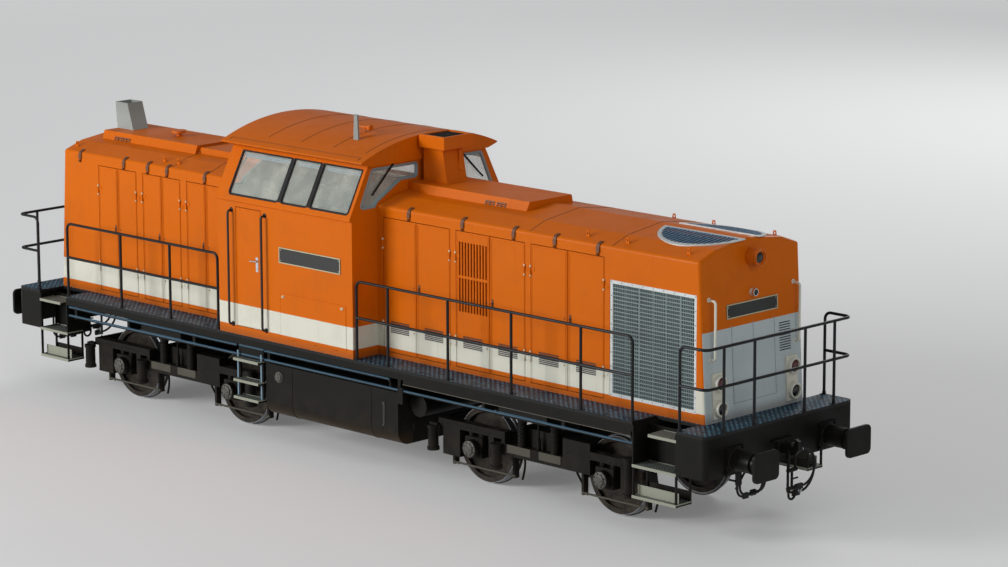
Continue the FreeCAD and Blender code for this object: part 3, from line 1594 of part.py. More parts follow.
def make_rear_humps():
    return [
        make_hump("rear_hump", [("rear_hump_end", "hump_half"), ("rear_hump_step", "hump_half")],
                  "hump_half", "hump_top", (0, 3)),
        make_hump("rear_hump_low",
                  [("rear_hump_step - 1", "rear_hump_low_half"), ("cab_rear", "rear_hump_low_half")],
                  "rear_hump_low_half", "rear_hump_low_top", None),
    ]


def make_duct():
    """The exhaust duct, its flared collar and the horn on its face."""
    stem = prism("duct_stem", "XZ", [
        ("duct_rear", up("hump_top - 20")),
        ("cab_front + duct_foot", up("hump_top - 20")),
        ("duct_front", up("duct_top")),
        ("duct_rear", up("duct_top")),
    ], both("duct_half"))
    collar = block("duct_collar", ("duct_rear", "duct_front + duct_collar"), both("duct_collar_half"),
                   (up("duct_top"), up("duct_collar_top")))
    mouth = block("duct_mouth",
                  ("duct_rear + duct_collar_wall", "duct_front + duct_collar - duct_collar_wall"),
                  both("duct_collar_half - duct_collar_wall"),
                  (up("duct_collar_top - duct_mouth_depth"), up("duct_collar_top + 1")))
    face = "(duct_front + duct_horn_out)"
    horn = [
        rod("horn_foot", "horn_tube_radius", ("duct_front - 1", face), "duct_horn_across",
            up("duct_horn_top")),
        rod("horn_tube", "horn_tube_radius", face, "duct_horn_across",
            (up("duct_horn_low + horn_bell_length"), up("duct_horn_top + horn_tube_radius"))),
        cone("horn_bell", "horn_bell_radius", "horn_tube_radius", face, "duct_horn_across",
             (up("duct_horn_low"), up("duct_horn_low + horn_bell_length"))),
    ]
    return fused("duct", [cut("duct_open", fused("duct_whole", [stem, collar]), [mouth])] + horn)


# lifting lugs and the stays over the doors, along each hood
LUG_PLACES = {
    "front": ("fan_place + fan_guard_radius / 2", "fan_place - fan_guard_radius",
              "fan_place - 2 * fan_guard_radius"),
    "rear": ("rear_hood_head + lug_height * 2", "rear_hump_step + lug_height",
             "rear_hump_step - lug_height * 3"),
}
STAY_PLACES = {
    "front": ("front_bay_1 + front_leaf_1a - stay_shift", "front_bay_2 + stay_shift",
              "front_bay_2 + front_leaf_2a + front_leaf_2b - stay_shift * 1.5",
              "front_bay_3 + front_leaf_3a / 1.5",
              "grille_rear - stay_shift * 1.5"),
    "rear": ("rear_bay_3 - rear_leaf_3a - rear_leaf_3b - stay_shift * 3", "rear_bay_3 - stay_shift * 2",
             "rear_bay_2 - rear_leaf_2a - rear_leaf_2b + stay_shift", "rear_bay_2 - rear_leaf_2a / 1.5",
             "rear_bay_1 - rear_leaf_1a"),
}


def make_lugs(end):
    """Lifting lugs on the shoulders of a hood's roof."""
    along, near, foot, head = HOODS[end]
    seat = f"{EAVE} + roof_shoulder_rise * (hood_half_width - lug_across) / (hood_half_width - roof_shoulder)"
    pieces = []
    for place in LUG_PLACES[end]:
        for sign in (1, -1):
            plate = prism("lug_plate", "XZ", [
                (f"{place} - lug_half", f"{seat} - 20"),
                (f"{place} + lug_half", f"{seat} - 20"),
                (f"{place} + lug_half / 2", f"{seat} + lug_height"),
                (f"{place} - lug_half / 2", f"{seat} + lug_height"),
            ], about(f"{sign} * lug_across", "lug_thickness / 2"))
            eye = rod("lug_eye", "lug_hole", place, about(f"{sign} * lug_across", "lug_thickness"),
                      f"{seat} + lug_height - 2 * lug_hole")
            pieces.append(cut("lug", plate, [eye]))
    return pieces


def make_stays(end):
    """Straps down from the eaves, each with a hook over the doors' heads."""
    pieces = []
    for place in STAY_PLACES[end]:
        for sign in (1, -1):
            outside = "hood_half_width + 2 * running_gap"
            pieces.append(block("stay_root", about(place, "stay_hook / 3"),
                                side(sign, "hood_half_width - hood_wall / 2",
                                     "hood_half_width + stay_proud"),
                                (SPLIT, up("hood_eave - hood_corner"))))
            pieces.append(block("stay", about(place, "stay_hook / 3"),
                                side(sign, outside, "hood_half_width + stay_proud"),
                                (up("stay_low"), SPLIT)))
            pieces.append(block("stay_hook", about(place, "stay_hook / 2"),
                                side(sign, outside, "hood_half_width + stay_proud + stay_hook / 3"),
                                (up("stay_low"), up("stay_low + stay_hook"))))
    return pieces


def make_grilles():
    """Side radiator grilles: a frame, slats between rows of slots, and mullions."""
    pieces = []
    inner_low = "grille_low + grille_frame"
    pitch = "((grille_top - grille_low - 2 * grille_frame) / 28)"
    width = "(grille_front - grille_rear - 2 * grille_frame)"
    for sign in (1, -1):
        back = "hood_half_width - hood_wall"
        y = side(sign, back, f"{back} + grille_thickness")
        plate = block("grille_plate", ("grille_rear", "grille_front"), y,
                      (up("grille_low"), up("grille_top")))
        slots = []
        for row in range(28):
            low = f"{inner_low} + {row} * {pitch} + ({pitch} - grille_slot) / 2"
            slots.append(block("grille_slot", ("grille_rear + grille_frame", "grille_front - grille_frame"),
                               side(sign, f"{back} - 1", f"{back} + grille_thickness + 1"),
                               (up(low), up(f"{low} + grille_slot"))))
        mullions = [block("grille_mullion",
                          about(f"grille_rear + grille_frame + {column} * {width} / 6",
                                "grille_mullion / 2"),
                          y, (up(inner_low), up("grille_top - grille_frame"))) for column in range(1, 6)]
        pieces.append(fused("grille", [cut("grille_slotted", plate, slots)] + mullions))
    node("radiator_grilles", together("radiator_grilles", pieces))


def make_fan_guard():
    """Slotted guards that lie on the roof's slopes either side of the ridge."""
    lifted = prism("guard_lifted", "YZ", roof_outline("fan_guard_thickness + running_gap"),
                   about("fan_place", "fan_guard_radius + 1"))
    seat = prism("guard_seat", "YZ", roof_outline("running_gap"),
                 about("fan_place", "fan_guard_radius + 2"))
    plates = common("guard_plates", cut("guard_skin", lifted, [seat]),
                    fan_opening("guard_reach", "fan_guard_radius", "fan_band"))
    clear = fan_opening("guard_clear", "fan_guard_radius - fan_guard_rim", "fan_band + fan_guard_rim")
    rows = [block("guard_slot", about(f"fan_place + {row} * fan_guard_pitch", "fan_guard_slot / 2"),
                  both("fan_guard_radius"), (SPLIT, f"{RIDGE} + 2 * roof_thickness"))
            for row in range(-9, 10)]
    slots = common("guard_slots", together("guard_rows", rows), clear)
    node("fan_guard", cut("fan_guard", plates, [slots]))


def make_fan():
    centre = "fan_place"
    low = "fan_height - fan_hub_rise"
    hub = rod("fan_hub", "fan_hub_radius", centre, "0", (up(low), up(f"{low} + fan_depth")))
    blades = []
    for number in range(8):
        blade = doc.addObject("Part::Box", "fan_blade")
        blade.setExpression("Length", tied("fan_radius"))
        blade.setExpression("Width", tied("fan_depth * 1.2"))
        blade.setExpression("Height", tied("fan_blade_thickness"))
        tilt = FreeCAD.Rotation(FreeCAD.Vector(1, 0, 0), 30)
        turn = FreeCAD.Rotation(FreeCAD.Vector(0, 0, 1), number * 45)
        blade.Placement = FreeCAD.Placement(FreeCAD.Vector(), turn.multiply(tilt))
        blade.setExpression("Placement.Base.x", tied(centre))
        blade.setExpression("Placement.Base.z", tied(up("fan_height - fan_rim_half_height")))
        blades.append(blade)
    rim_span = (up("fan_height - fan_rim_half_height"), up("fan_height + fan_rim_half_height"))
    bore_span = (up("fan_height - 2 * fan_rim_half_height"), up("fan_height + 2 * fan_rim_half_height"))
    rim = cut("fan_ring", rod("fan_rim", "fan_radius + fan_rim_thickness * 3 / 4", centre, "0", rim_span),
              [rod("fan_rim_inside", "fan_radius - fan_rim_thickness / 4", centre, "0", bore_span)])
    shaft = rod("fan_bore", "fan_shaft_radius + running_gap", centre, "0",
                (up("fan_height - 2 * fan_depth"), up("fan_height + 2 * fan_depth")))
    node("fan", cut("fan", fused("fan_whole", [hub, rim] + blades), [shaft]))


def make_engine():
    low = up("engine_low")
    body = block("engine_block", ("engine_rear", "engine_front"), both("engine_half_width"),
                 (low, up("engine_top")))
    feet = [block("engine_foot", about(place, "engine_foot_half"), both("engine_half_width"),
                  (DECK_TOP, low))
            for place in ("engine_rear + engine_foot_set", "engine_front - engine_foot_set")]
    node("engine", fused("engine", [body] + feet))


for end in HOODS:
    make_hood(end)
    make_hood_roof(end)
make_doors()
make_grilles()
make_fan_guard()
make_fan()
make_engine()

# ------------------------------------------------------------------------------------------
# Cab
# ------------------------------------------------------------------------------------------

CAB_EAVE = up("cab_eave")
SIDE_WINDOWS = [
    ("window_rear", "window_split_rear - mullion / 2"),
    ("window_split_rear + mullion / 2", "window_split_front - mullion / 2"),
    ("window_split_front + mullion / 2", "window_front"),
]
# one end window, from its lower outer corner round to the hood's roof
END_WINDOW = [
    ("end_window_low_out", up("end_window_low")),
    ("end_window_top_out", up("end_window_top")),
    ("end_window_inner", up("end_window_top")),
    ("end_window_inner", up("hump_top + end_window_margin")),
    ("hump_half + end_window_margin", up("hump_top + end_window_margin")),
    ("hood_half_width", up("hood_eave + end_window_margin")),
    ("hood_half_width + end_window_margin", up("end_window_low")),
]


def cab_section(inset):
    """The cab's cross-section, drawn in by a wall's thickness."""
    return mirrored([
        (f"deck_half_width - ({inset})", f"{DECK_TOP}"),
        (f"deck_half_width - ({inset})", up("cab_sill")),
        (f"cab_sill_out - ({inset})", up("cab_sill + cab_sill_rise / 3")),
        (f"cab_sill_out - ({inset})", up("cab_sill + cab_sill_rise")),
        (f"cab_eave_half - ({inset})", CAB_EAVE),
    ])


def window_tools():
    tools = []
    for sign in (1, -1):
        for start, stop in SIDE_WINDOWS:
            corners = [(start, up("window_low")), (stop, up("window_low")),
                       (stop, up("window_top")), (start, up("window_top"))]
            tools.append(prism("side_window", "XZ", corners,
                               side(sign, "cab_eave_half - 2 * cab_wall", "cab_sill_out + cab_wall"),
                               rounded=("window_corner", (0, 1))))
        corners = [(f"{sign} * ({across})", height) for across, height in END_WINDOW]
        for name, span in (("front_window", ("cab_front - cab_wall - 1", "cab_front + 1")),
                           ("rear_window", ("cab_rear - 1", "cab_rear + cab_wall + 1"))):
            tools.append(prism(name, "YZ", corners, span, rounded=("window_corner", (0, 1, 2, 3))))
    return tools


def make_cab():
    outer = prism("cab_outer", "YZ", cab_section("0"), ("cab_rear", "cab_front"))
    inner = prism("cab_inner", "YZ", cab_section("cab_wall"),
                  ("cab_rear + cab_wall", "cab_front - cab_wall"))
    tools = [inner] + window_tools()
    for sign in (1, -1):
        tools.append(block("door_opening", ("cab_door_rear", "cab_door_front"),
                           side(sign, "deck_half_width - cab_wall - 1", "deck_half_width + 1"),
                           (up("cab_door_low"), up("cab_door_top"))))
    shell = cut("cab_walls", outer, tools)
    floor = block("cab_floor", ("cab_rear + cab_wall", "cab_front - cab_wall"),
                  both("deck_half_width - cab_wall"),
                  (DECK_TOP, f"{DECK_TOP} + cab_floor_thickness"))
    pieces = [shell, floor]
    for sign in (1, -1):
        for low in cab_hinge_heights():
            span = (low, f"{low} + hinge_length - running_gap")
            pieces.append(rod("cab_hinge", "hinge_radius", "cab_door_rear + door_gap / 2",
                              f"{sign} * (deck_half_width - cab_wall - door_edge)", span))
            pieces.append(block("cab_hinge_strap", ("cab_door_rear - hinge_strap", "cab_door_rear"),
                                side(sign, "deck_half_width - cab_wall - hinge_strap_thickness",
                                     "deck_half_width - cab_wall"), span))
    node("cab_shell", fused("cab_shell", pieces))


def cab_hinge_heights():
    return (up("cab_door_low + hinge_end"), up("cab_door_top - hinge_end - 2 * hinge_length"))


def make_cab_door(sign):
    near = "cab_door_rear + door_gap"
    pieces = [block("cab_leaf", (near, "cab_door_front - door_gap"),
                    side(sign, "deck_half_width - cab_wall", "deck_half_width"),
                    (up("cab_door_low + door_gap"), up("cab_door_top - door_gap")))]
    for low in cab_hinge_heights():
        span = (f"{low} + hinge_length", f"{low} + 2 * hinge_length")
        pin = "cab_door_rear + door_gap / 2"
        pieces.append(rod("cab_leaf_knuckle", "hinge_radius", pin,
                          f"{sign} * (deck_half_width - cab_wall - door_edge)", span))
        pieces.append(block("cab_leaf_strap", (near, f"{near} + hinge_strap"),
                            side(sign, "deck_half_width - cab_wall - hinge_strap_thickness",
                                 "deck_half_width - cab_wall"), span))
        pieces.append(block("cab_leaf_bridge", (pin, near),
                            side(sign, "deck_half_width - cab_wall - hinge_strap_thickness",
                                 "deck_half_width - cab_wall - 1"), span))
    name = f"cab_door_{SIDE_NAMES[sign]}"
    node(name, fused(name, pieces))


def make_glass():
    middle = "(cab_wall - glass_thickness) / 2"
    outer = prism("glass_outer", "YZ", cab_section(middle),
                  ("cab_rear + " + middle, "cab_front - " + middle))
    inner = prism("glass_inner", "YZ", cab_section(middle + " + glass_thickness"),
                  (f"cab_rear + {middle} + glass_thickness", f"cab_front - {middle} - glass_thickness"))
    sheet_of_glass = cut("glass_sheet", outer, [inner])
    node("cab_glass", common("cab_glass", sheet_of_glass, together("window_spaces", window_tools())))


def roof_form(name, raised, rounded):
    """The cab roof's whole form, its top raised by a distance."""
    tip = up(f"cab_roof_tip + {raised}")
    return prism(name, "YZ", [
        ("-cab_eave_half", CAB_EAVE),
        ("cab_eave_half", CAB_EAVE),
        ("cab_roof_half", tip),
        ("-cab_roof_half", tip),
    ], ("cab_rear - cab_roof_overhang", "cab_front + cab_roof_overhang"),
        arcs={2: "cab_roof_top - cab_roof_tip"}, rounded=rounded)


def make_cab_roof():
    inside = "cab_eave_half - cab_wall"
    under = up("cab_roof_tip - cab_wall / 2")
    hollow = prism("cab_roof_hollow", "YZ", [
        (f"-({inside})", f"{CAB_EAVE} - 1"),
        (inside, f"{CAB_EAVE} - 1"),
        (inside, under),
        (f"-({inside})", under),
    ], ("cab_rear + cab_wall", "cab_front - cab_wall"),
        arcs={2: "cab_roof_top - cab_roof_tip - cab_roof_shell + cab_wall / 2"})
    whole = roof_form("cab_roof_outer", "0", ("cab_roof_round", (2, 3)))
    node("cab_roof", cut("cab_roof", whole, [hollow]))


def make_interior():
    floor = f"{DECK_TOP} + cab_floor_thickness"
    inside = "deck_half_width - cab_wall"
    front = "cab_front - cab_wall"
    cushion_low = up("platform_top + seat_height - seat_cushion")
    cushion_top = up("platform_top + seat_height")
    pieces = [
        block("platform", ("platform_rear", front), both(inside), (floor, up("platform_top"))),
        block("desk", (f"{front} - desk_depth", front), both("desk_half"),
              (up("platform_top"), up("desk_top"))),
    ]
    for sign in (1, -1):
        place = f"{sign} * seat_across"
        pieces.append(rod("seat_post", "seat_post_radius", "seat_place", place,
                          (up("platform_top"), cushion_low)))
        pieces.append(block("seat_cushion", about("seat_place", "seat_half"), about(place, "seat_half"),
                            (cushion_low, cushion_top)))
        pieces.append(block("seat_back",
                            ("seat_place - seat_half", "seat_place - seat_half + seat_cushion"),
                            about(place, "seat_half"), (cushion_top, up("platform_top + seat_back"))))
    node("cab_interior", fused("cab_interior", pieces))


make_cab()
for sign in SIDE_NAMES:
    make_cab_door(sign)
make_glass()
make_cab_roof()
make_interior()

# ------------------------------------------------------------------------------------------
# Lamps, grab rails and roof fittings
# ------------------------------------------------------------------------------------------


def seat_on_face(end, height):
    """How far out a fitting's back stands so that it just clears the leaning end face above a height."""
    return f"{HOODS[end][0]} * {hood_face(end, height)} + running_gap"


def barrel_lamp(end, radius, depth, lens, across, height):
    """A round lamp on an end face, hollow at the front as deep as its lens lies."""
    along = HOODS[end][0]
    seat = seat_on_face(end, f"({height} - {radius})")
    body = rod("lamp", radius, side(along, seat, f"{seat} + {depth}"), across, up(height))
    recess = rod("lamp_recess", lens,
                 side(along, f"{seat} + {depth} - lamp_lens_depth", f"{seat} + {depth} + 1"),
                 across, up(height))
    return cut("lamp_open", body, [recess])


def make_lamps():
    """Two lamps on a plate each side of both end faces, and a small lamp high on the middle."""
    pieces = []
    for end, (along, near, foot, head) in HOODS.items():
        for sign in (1, -1):
            across = f"{sign} * lamp_across"
            low, high = "lamp_plate_low", "lamp_plate_top"
            back = f"{along} * ({seat_on_face(end, low)})"
            back_high = f"{along} * ({seat_on_face(end, high)})"
            thick = f"{along} * lamp_plate_thickness"
            plate = prism("lamp_plate", "XZ", [
                (back, up(low)),
                (f"{back} + {thick}", up(low)),
                (f"{back_high} + {thick}", up(high)),
                (back_high, up(high)),
            ], about(across, "lamp_plate_half"))
            lamps = [barrel_lamp(end, "lamp_radius", "lamp_depth", "lamp_lens_radius", across, height)
                     for height in ("lamp_upper", "lamp_lower")]
            pieces.append(fused("lamp_pair", [plate] + lamps))
        pieces.append(barrel_lamp(end, "spot_lamp_radius", "spot_lamp_depth",
                                  "spot_lamp_radius - hinge_strap_thickness",
                                  "0", "spot_lamp_height"))
    node("lamps", together("lamps", pieces))


def handle(plane_ends, low, high, post):
    """A grab rail: an upright bar and its feet, joined by bends.

    plane_ends are the feet's seats at the low and high end, post is the bar's place; the feet run
    along the axis on which each seat is (axis, seat, sign out from it, the other axis's place).
    """
    axis, seats, out, beside = plane_ends
    bars = [rod("grab", "grab_radius", *placed(axis, post, beside),
                (up(f"{low} + grab_bend"), up(f"{high} - grab_bend")))]
    for height, seat, turn in ((low, seats[0], 1), (high, seats[1], -1)):
        start = f"({post} - ({out}) * grab_bend)"
        span = (seat, start) if out > 0 else (start, seat)
        bars.append(rod("grab_foot", "grab_radius", *placed(axis, span, beside), up(height)))
        centre = (*placed(axis, start, beside), up(f"{height} + {turn} * grab_bend"))
        outward = (out, 0, 0) if axis == "x" else (0, out, 0)
        bars.append(elbow("grab_bend", "grab_radius", "grab_bend", centre, outward, (0, 0, -turn)))
    return fused("grab_rail", bars)


def placed(axis, along_axis, beside):
    """The X and Y entries when one is along the given axis and the other beside it."""
    return (along_axis, beside) if axis == "x" else (beside, along_axis)


def make_grab_rails():
    pieces = []
    for sign in (1, -1):
        for place in ("cab_door_rear - cab_grab_gap", "cab_door_front + cab_grab_gap"):
            wall = f"{sign} * deck_half_width"
            pieces.append(handle(("y", (wall, wall), sign, place), "cab_grab_low", "cab_grab_high",
                                 f"{sign} * (deck_half_width + grab_stand)"))
    for end, (along, near, foot, head) in HOODS.items():
        seats = [f"{along} * ({seat_on_face(end, f'({height} - grab_radius)')})"
                 for height in ("grab_low", "grab_high")]
        for sign in (1, -1):
            pieces.append(handle(("x", seats, along, f"{sign} * grab_across"), "grab_low", "grab_high",
                                 f"({hood_face(end, 'grab_low')} + {along} * grab_stand)"))
    node("grab_rails", together("grab_rails", pieces))


def make_stack():
    """The leaning exhaust stack on the rear hood, open at the top."""
    whole = prism("stack", "XZ", [
        ("stack_rear", up("hump_top")),
        ("stack_front", up("hump_top")),
        ("stack_front - stack_taper", up("stack_top")),
        ("stack_rear - stack_lean", up("stack_top")),
    ], both("stack_half"))
    mouth = block("stack_mouth",
                  ("stack_rear - stack_lean + stack_wall", "stack_front - stack_taper - stack_wall"),
                  both("stack_half - stack_wall"), (up("stack_top - stack_mouth"), up("stack_top + 1")))
    return cut("stack_open", whole, [mouth])


def make_head_lamp(end):
    """A ribbed barrel headlamp at the top of an end face."""
    along = HOODS[end][0]
    seat = seat_on_face(end, "(head_lamp_height - head_lamp_radius)")
    height = "head_lamp_height"
    ribs = [rod("head_lamp_rib", "head_lamp_radius + head_lamp_rib",
                side(along, f"{seat} + {number} * head_lamp_rib_pitch",
                     f"{seat} + {number} * head_lamp_rib_pitch + head_lamp_rib"), "0", up(height))
            for number in (1, 2, 3)]
    barrel = barrel_lamp(end, "head_lamp_radius", "head_lamp_depth", "head_lamp_lens", "0", height)
    return fused("head_lamp", [barrel] + ribs)


def make_on_cab_roof():
    """The aerial's fin and the horn, cut to sit on the cab's curved roof."""
    fin_low = up("cab_roof_tip")
    fin = prism("fin", "XZ", [
        ("fin_place - fin_half_length", fin_low),
        ("fin_place + fin_half_length", fin_low),
        ("fin_place + fin_half_length - fin_taper", up("fin_top")),
        ("fin_place - fin_half_length + fin_taper", up("fin_top")),
    ], about("-fin_across", "fin_half_thickness"))
    horn = [
        rod("horn_stand", "horn_tube_radius", "horn_place", "-horn_across", (fin_low, up("horn_height"))),
        rod("horn_tube", "horn_tube_radius", ("horn_place - horn_half_length", "horn_place"),
            "-horn_across",
            up("horn_height")),
        cone("horn_bell", "horn_tube_radius", "horn_bell_radius",
             ("horn_place", "horn_place + horn_half_length"),
             "-horn_across", up("horn_height")),
    ]
    pieces = [fin, fused("roof_horn", horn)]
    return [cut(piece.Name + "_seated", piece,
                [roof_form("roof_seat", "running_gap", None)]) for piece in pieces]


def make_roof_fittings():
    low = "hump_top"
    knob = fused("knob", [
        rod("knob_post", "knob_post_radius", "knob_place", "0", (up(low), up(f"{low} + knob_height"))),
        rod("knob_disc", "knob_radius", "knob_place", "0",
            (up(f"{low} + knob_height - knob_thickness"), up(f"{low} + knob_height"))),
    ])
    pieces = [make_stack(), knob] + [make_head_lamp(end) for end in HOODS] + make_on_cab_roof()
    node("roof_fittings", together("roof_fittings", pieces))


make_lamps()
make_grab_rails()
make_roof_fittings()

# ------------------------------------------------------------------------------------------
# Check and write
# ------------------------------------------------------------------------------------------

doc.recompute()
for item in doc.Objects:
    if "Invalid" in item.State or "Error" in item.State:
        raise RuntimeError(f"{item.Label} did not compute: {item.State}")
os.makedirs("parts", exist_ok=True)
for item in NODES:
    shape = item.Shape
    if shape.isNull() or not shape.isValid() or not shape.Solids:
        raise RuntimeError(f"{item.Label} is not a valid solid")
    shape.exportStep(f"parts/{item.Label}.step")
    print(f"{item.Label}: {len(shape.Solids)} solid(s), {shape.Volume / 1e9:.4f} cubic metres")
print(len(NODES), "nodes")
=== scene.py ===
"""Looks of the centre-cab diesel locomotive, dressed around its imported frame.

Metres throughout, in the frame's own axes: +X towards the radiator end, -Y the near side, +Z up.
"""

import json
import math

import bmesh
import bpy
from mathutils import Matrix, Vector
from mathutils.bvhtree import BVHTree


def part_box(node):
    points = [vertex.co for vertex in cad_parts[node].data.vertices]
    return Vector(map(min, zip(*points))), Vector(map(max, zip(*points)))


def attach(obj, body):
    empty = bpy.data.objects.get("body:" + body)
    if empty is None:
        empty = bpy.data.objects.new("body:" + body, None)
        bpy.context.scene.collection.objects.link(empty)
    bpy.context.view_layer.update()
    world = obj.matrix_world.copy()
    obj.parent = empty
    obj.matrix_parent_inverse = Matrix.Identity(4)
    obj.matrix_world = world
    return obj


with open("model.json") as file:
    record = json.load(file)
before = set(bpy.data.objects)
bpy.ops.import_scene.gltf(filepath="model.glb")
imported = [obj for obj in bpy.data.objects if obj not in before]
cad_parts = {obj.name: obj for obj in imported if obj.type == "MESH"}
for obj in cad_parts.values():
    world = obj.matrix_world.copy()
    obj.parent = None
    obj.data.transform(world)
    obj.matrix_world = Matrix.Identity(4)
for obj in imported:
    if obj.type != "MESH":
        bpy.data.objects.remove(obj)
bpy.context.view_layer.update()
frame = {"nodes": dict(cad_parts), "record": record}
NODES = frame["nodes"]
JOINTS = {joint["name"]: joint for joint in frame["record"]["behaviour"]["joints"]}

# --- Places that the looks share with the frame ---

RAIL = 0.028                       # the rail head above the lowest flange point
SIDES = (-1, 1)
ENDS = {"front": 1, "rear": -1}
HOOD_HALF = 0.93
CAB_HALF = 1.388
DECK_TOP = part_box("deck")[1][2]
DECK_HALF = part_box("deck")[1][1]
STRIPE_LOW = 1.545 + RAIL
STRIPE_TOP = 1.845 + RAIL
FACE_SPLIT = 2.545 + RAIL          # below this the hood's end faces are pale
FACE_FOOT = {"front": 6.271, "rear": 6.270}
FACE_LEAN = {"front": 0.058, "rear": 0.0622}
AXLE_HEIGHT = 0.5 + RAIL
BOGIE_CENTRES = {end: JOINTS[f"bogie_{end}_yaw"]["pos_m"][0] for end in ENDS}

# --- Material nodes ---

def plug(tree, value, socket):
    """Feed a field, a colour or a number to a socket."""
    if isinstance(value, Field):
        tree.links.new(value.socket, socket)
    elif isinstance(value, tuple):
        socket.default_value = (*value, 1.0)
    else:
        socket.default_value = value


def math_node(tree, operation, *values):
    """The field that a Math node makes of fields and numbers."""
    node = tree.nodes.new("ShaderNodeMath")
    node.operation = operation
    for value, socket in zip(values, node.inputs):
        plug(tree, value, socket)
    return Field(tree, node.outputs[0])


class Field:
    """A number or colour that varies over a piece. A mask is 0 or 1; & is all of, | is any of."""

    def __init__(self, tree, socket):
        self.tree = tree
        self.socket = socket

    def __add__(self, other):
        return math_node(self.tree, "ADD", self, other)

    def __sub__(self, other):
        return math_node(self.tree, "SUBTRACT", self, other)

    def __rsub__(self, other):
        return math_node(self.tree, "SUBTRACT", other, self)

    def __mul__(self, other):
        return math_node(self.tree, "MULTIPLY", self, other)

    def __gt__(self, other):
        return math_node(self.tree, "GREATER_THAN", self, other)

    def __lt__(self, other):
        return math_node(self.tree, "LESS_THAN", self, other)

    def __abs__(self):
        return math_node(self.tree, "ABSOLUTE", self)

    def __or__(self, other):
        return math_node(self.tree, "MAXIMUM", self, other)

    __and__ = __mul__

    def within(self, low, high):
        """1 between two limits."""
        return (self > low) & (self < high)

    def sine(self):
        """The sine of the field, in radians."""
        return math_node(self.tree, "SINE", self)

    def away(self, other):
        """The distance of the point with these two fields from the origin."""
        return math_node(self.tree, "SQRT", self * self + other * other)

    def ramp(self, low, high, start=0.0, end=1.0):
        """Spread smoothly from start to end as the field goes from low to high."""
        node = self.tree.nodes.new("ShaderNodeMapRange")
        node.interpolation_type = "SMOOTHSTEP"
        names = ("Value", "From Min", "From Max", "To Min", "To Max")
        for name, value in zip(names, (self, low, high, start, end)):
            plug(self.tree, value, node.inputs[name])
        return Field(self.tree, node.outputs["Result"])

    def mix(self, first, second):
        """The first colour where this field is 0 and the second where it is 1."""
        node = self.tree.nodes.new("ShaderNodeMix")
        node.data_type = "RGBA"
        for index, value in ((0, self), (6, first), (7, second)):
            plug(self.tree, value, node.inputs[index])
        return Field(self.tree, node.outputs[2])


def layered(colour, *layers):
    """A colour with others laid over it, each through its mask."""
    for mask, over in layers:
        colour = mask.mix(colour, over)
    return colour


class Surface:
    """A material, its shader, and a point's X, Y and Z in its piece's own rest coordinates."""

    def __init__(self, name, roughness=0.5, metallic=0.0, specular=0.5):
        self.material = bpy.data.materials.new(name)
        self.material.use_nodes = True
        self.tree = self.material.node_tree
        self.sockets = self.tree.nodes["Principled BSDF"].inputs
        self.feed("Roughness", roughness)
        self.feed("Metallic", metallic)
        self.feed("Specular IOR Level", specular)
        self.vector = self.tree.nodes.new("ShaderNodeTexCoord").outputs["Object"]
        split = self.tree.nodes.new("ShaderNodeSeparateXYZ")
        self.tree.links.new(self.vector, split.inputs[0])
        self.x, self.y, self.z = (Field(self.tree, socket) for socket in split.outputs)

    def feed(self, name, value):
        """Set a socket of the shader."""
        plug(self.tree, value, self.sockets[name])

    def noise(self, scale, detail=4.0, roughness=0.6, stretch=None):
        """Fractal noise from 0 to 1, on coordinates that may be stretched into streaks."""
        vector = self.vector
        if stretch:
            scaled = self.tree.nodes.new("ShaderNodeVectorMath")
            scaled.operation = "MULTIPLY"
            self.tree.links.new(vector, scaled.inputs[0])
            scaled.inputs[1].default_value = stretch
            vector = scaled.outputs[0]
        node = self.tree.nodes.new("ShaderNodeTexNoise")
        for name, value in (("Scale", scale), ("Detail", detail), ("Roughness", roughness)):
            node.inputs[name].default_value = value
        self.tree.links.new(vector, node.inputs["Vector"])
        return Field(self.tree, node.outputs["Fac"])

    def bump(self, height, strength, distance):
        """Drive the shader's normal with a height; returns the material."""
        node = self.tree.nodes.new("ShaderNodeBump")
        node.inputs["Strength"].default_value = strength
        node.inputs["Distance"].default_value = distance
        self.tree.links.new(height.socket, node.inputs["Height"])
        self.tree.links.new(node.outputs["Normal"], self.sockets["Normal"])
        return self.material

    def wear(self, colour, dirt, amount=0.25, rough=0.35, spread=0.2):
        """Colour with patches and rain streaks of grime, and roughness that varies with them."""
        patches = self.noise(1.7, 6.0, 0.65)
        fine = self.noise(38.0, 3.0)
        streaks = self.noise(1.0, stretch=(17.0, 17.0, 0.9))
        mask = patches.ramp(0.45, 0.8, 0.0, amount) * fine.ramp(0.2, 0.8, 0.6, 1.0)
        mask = mask + streaks.ramp(0.56, 0.8, 0.0, amount * 0.7)
        self.feed("Base Color", mask.mix(colour, dirt))
        self.feed("Roughness", patches.ramp(0.3, 0.8, rough, rough + spread))


# --- Colours and the places that they change at ---

ORANGE = (0.61, 0.122, 0.0015)
ORANGE_WARM = (0.67, 0.142, 0.002)
ORANGE_FOOT = (0.10, 0.05, 0.025)
WHITE = (0.69, 0.68, 0.58)
PALE_FACE = (0.50, 0.56, 0.57)
BLACK = (0.006, 0.006, 0.006)
FRAME_COLOUR = (0.0058, 0.0056, 0.0048)
BROWN = (0.14, 0.045, 0.012)
# dark grey lining inside the hoods; part of its darkness is painted shade
HOOD_LINING_SHADE = (0.10, 0.105, 0.095)
# pale cab lining; part of its paleness is painted light inside the cab
CAB_LINING = (0.74, 0.78, 0.70)

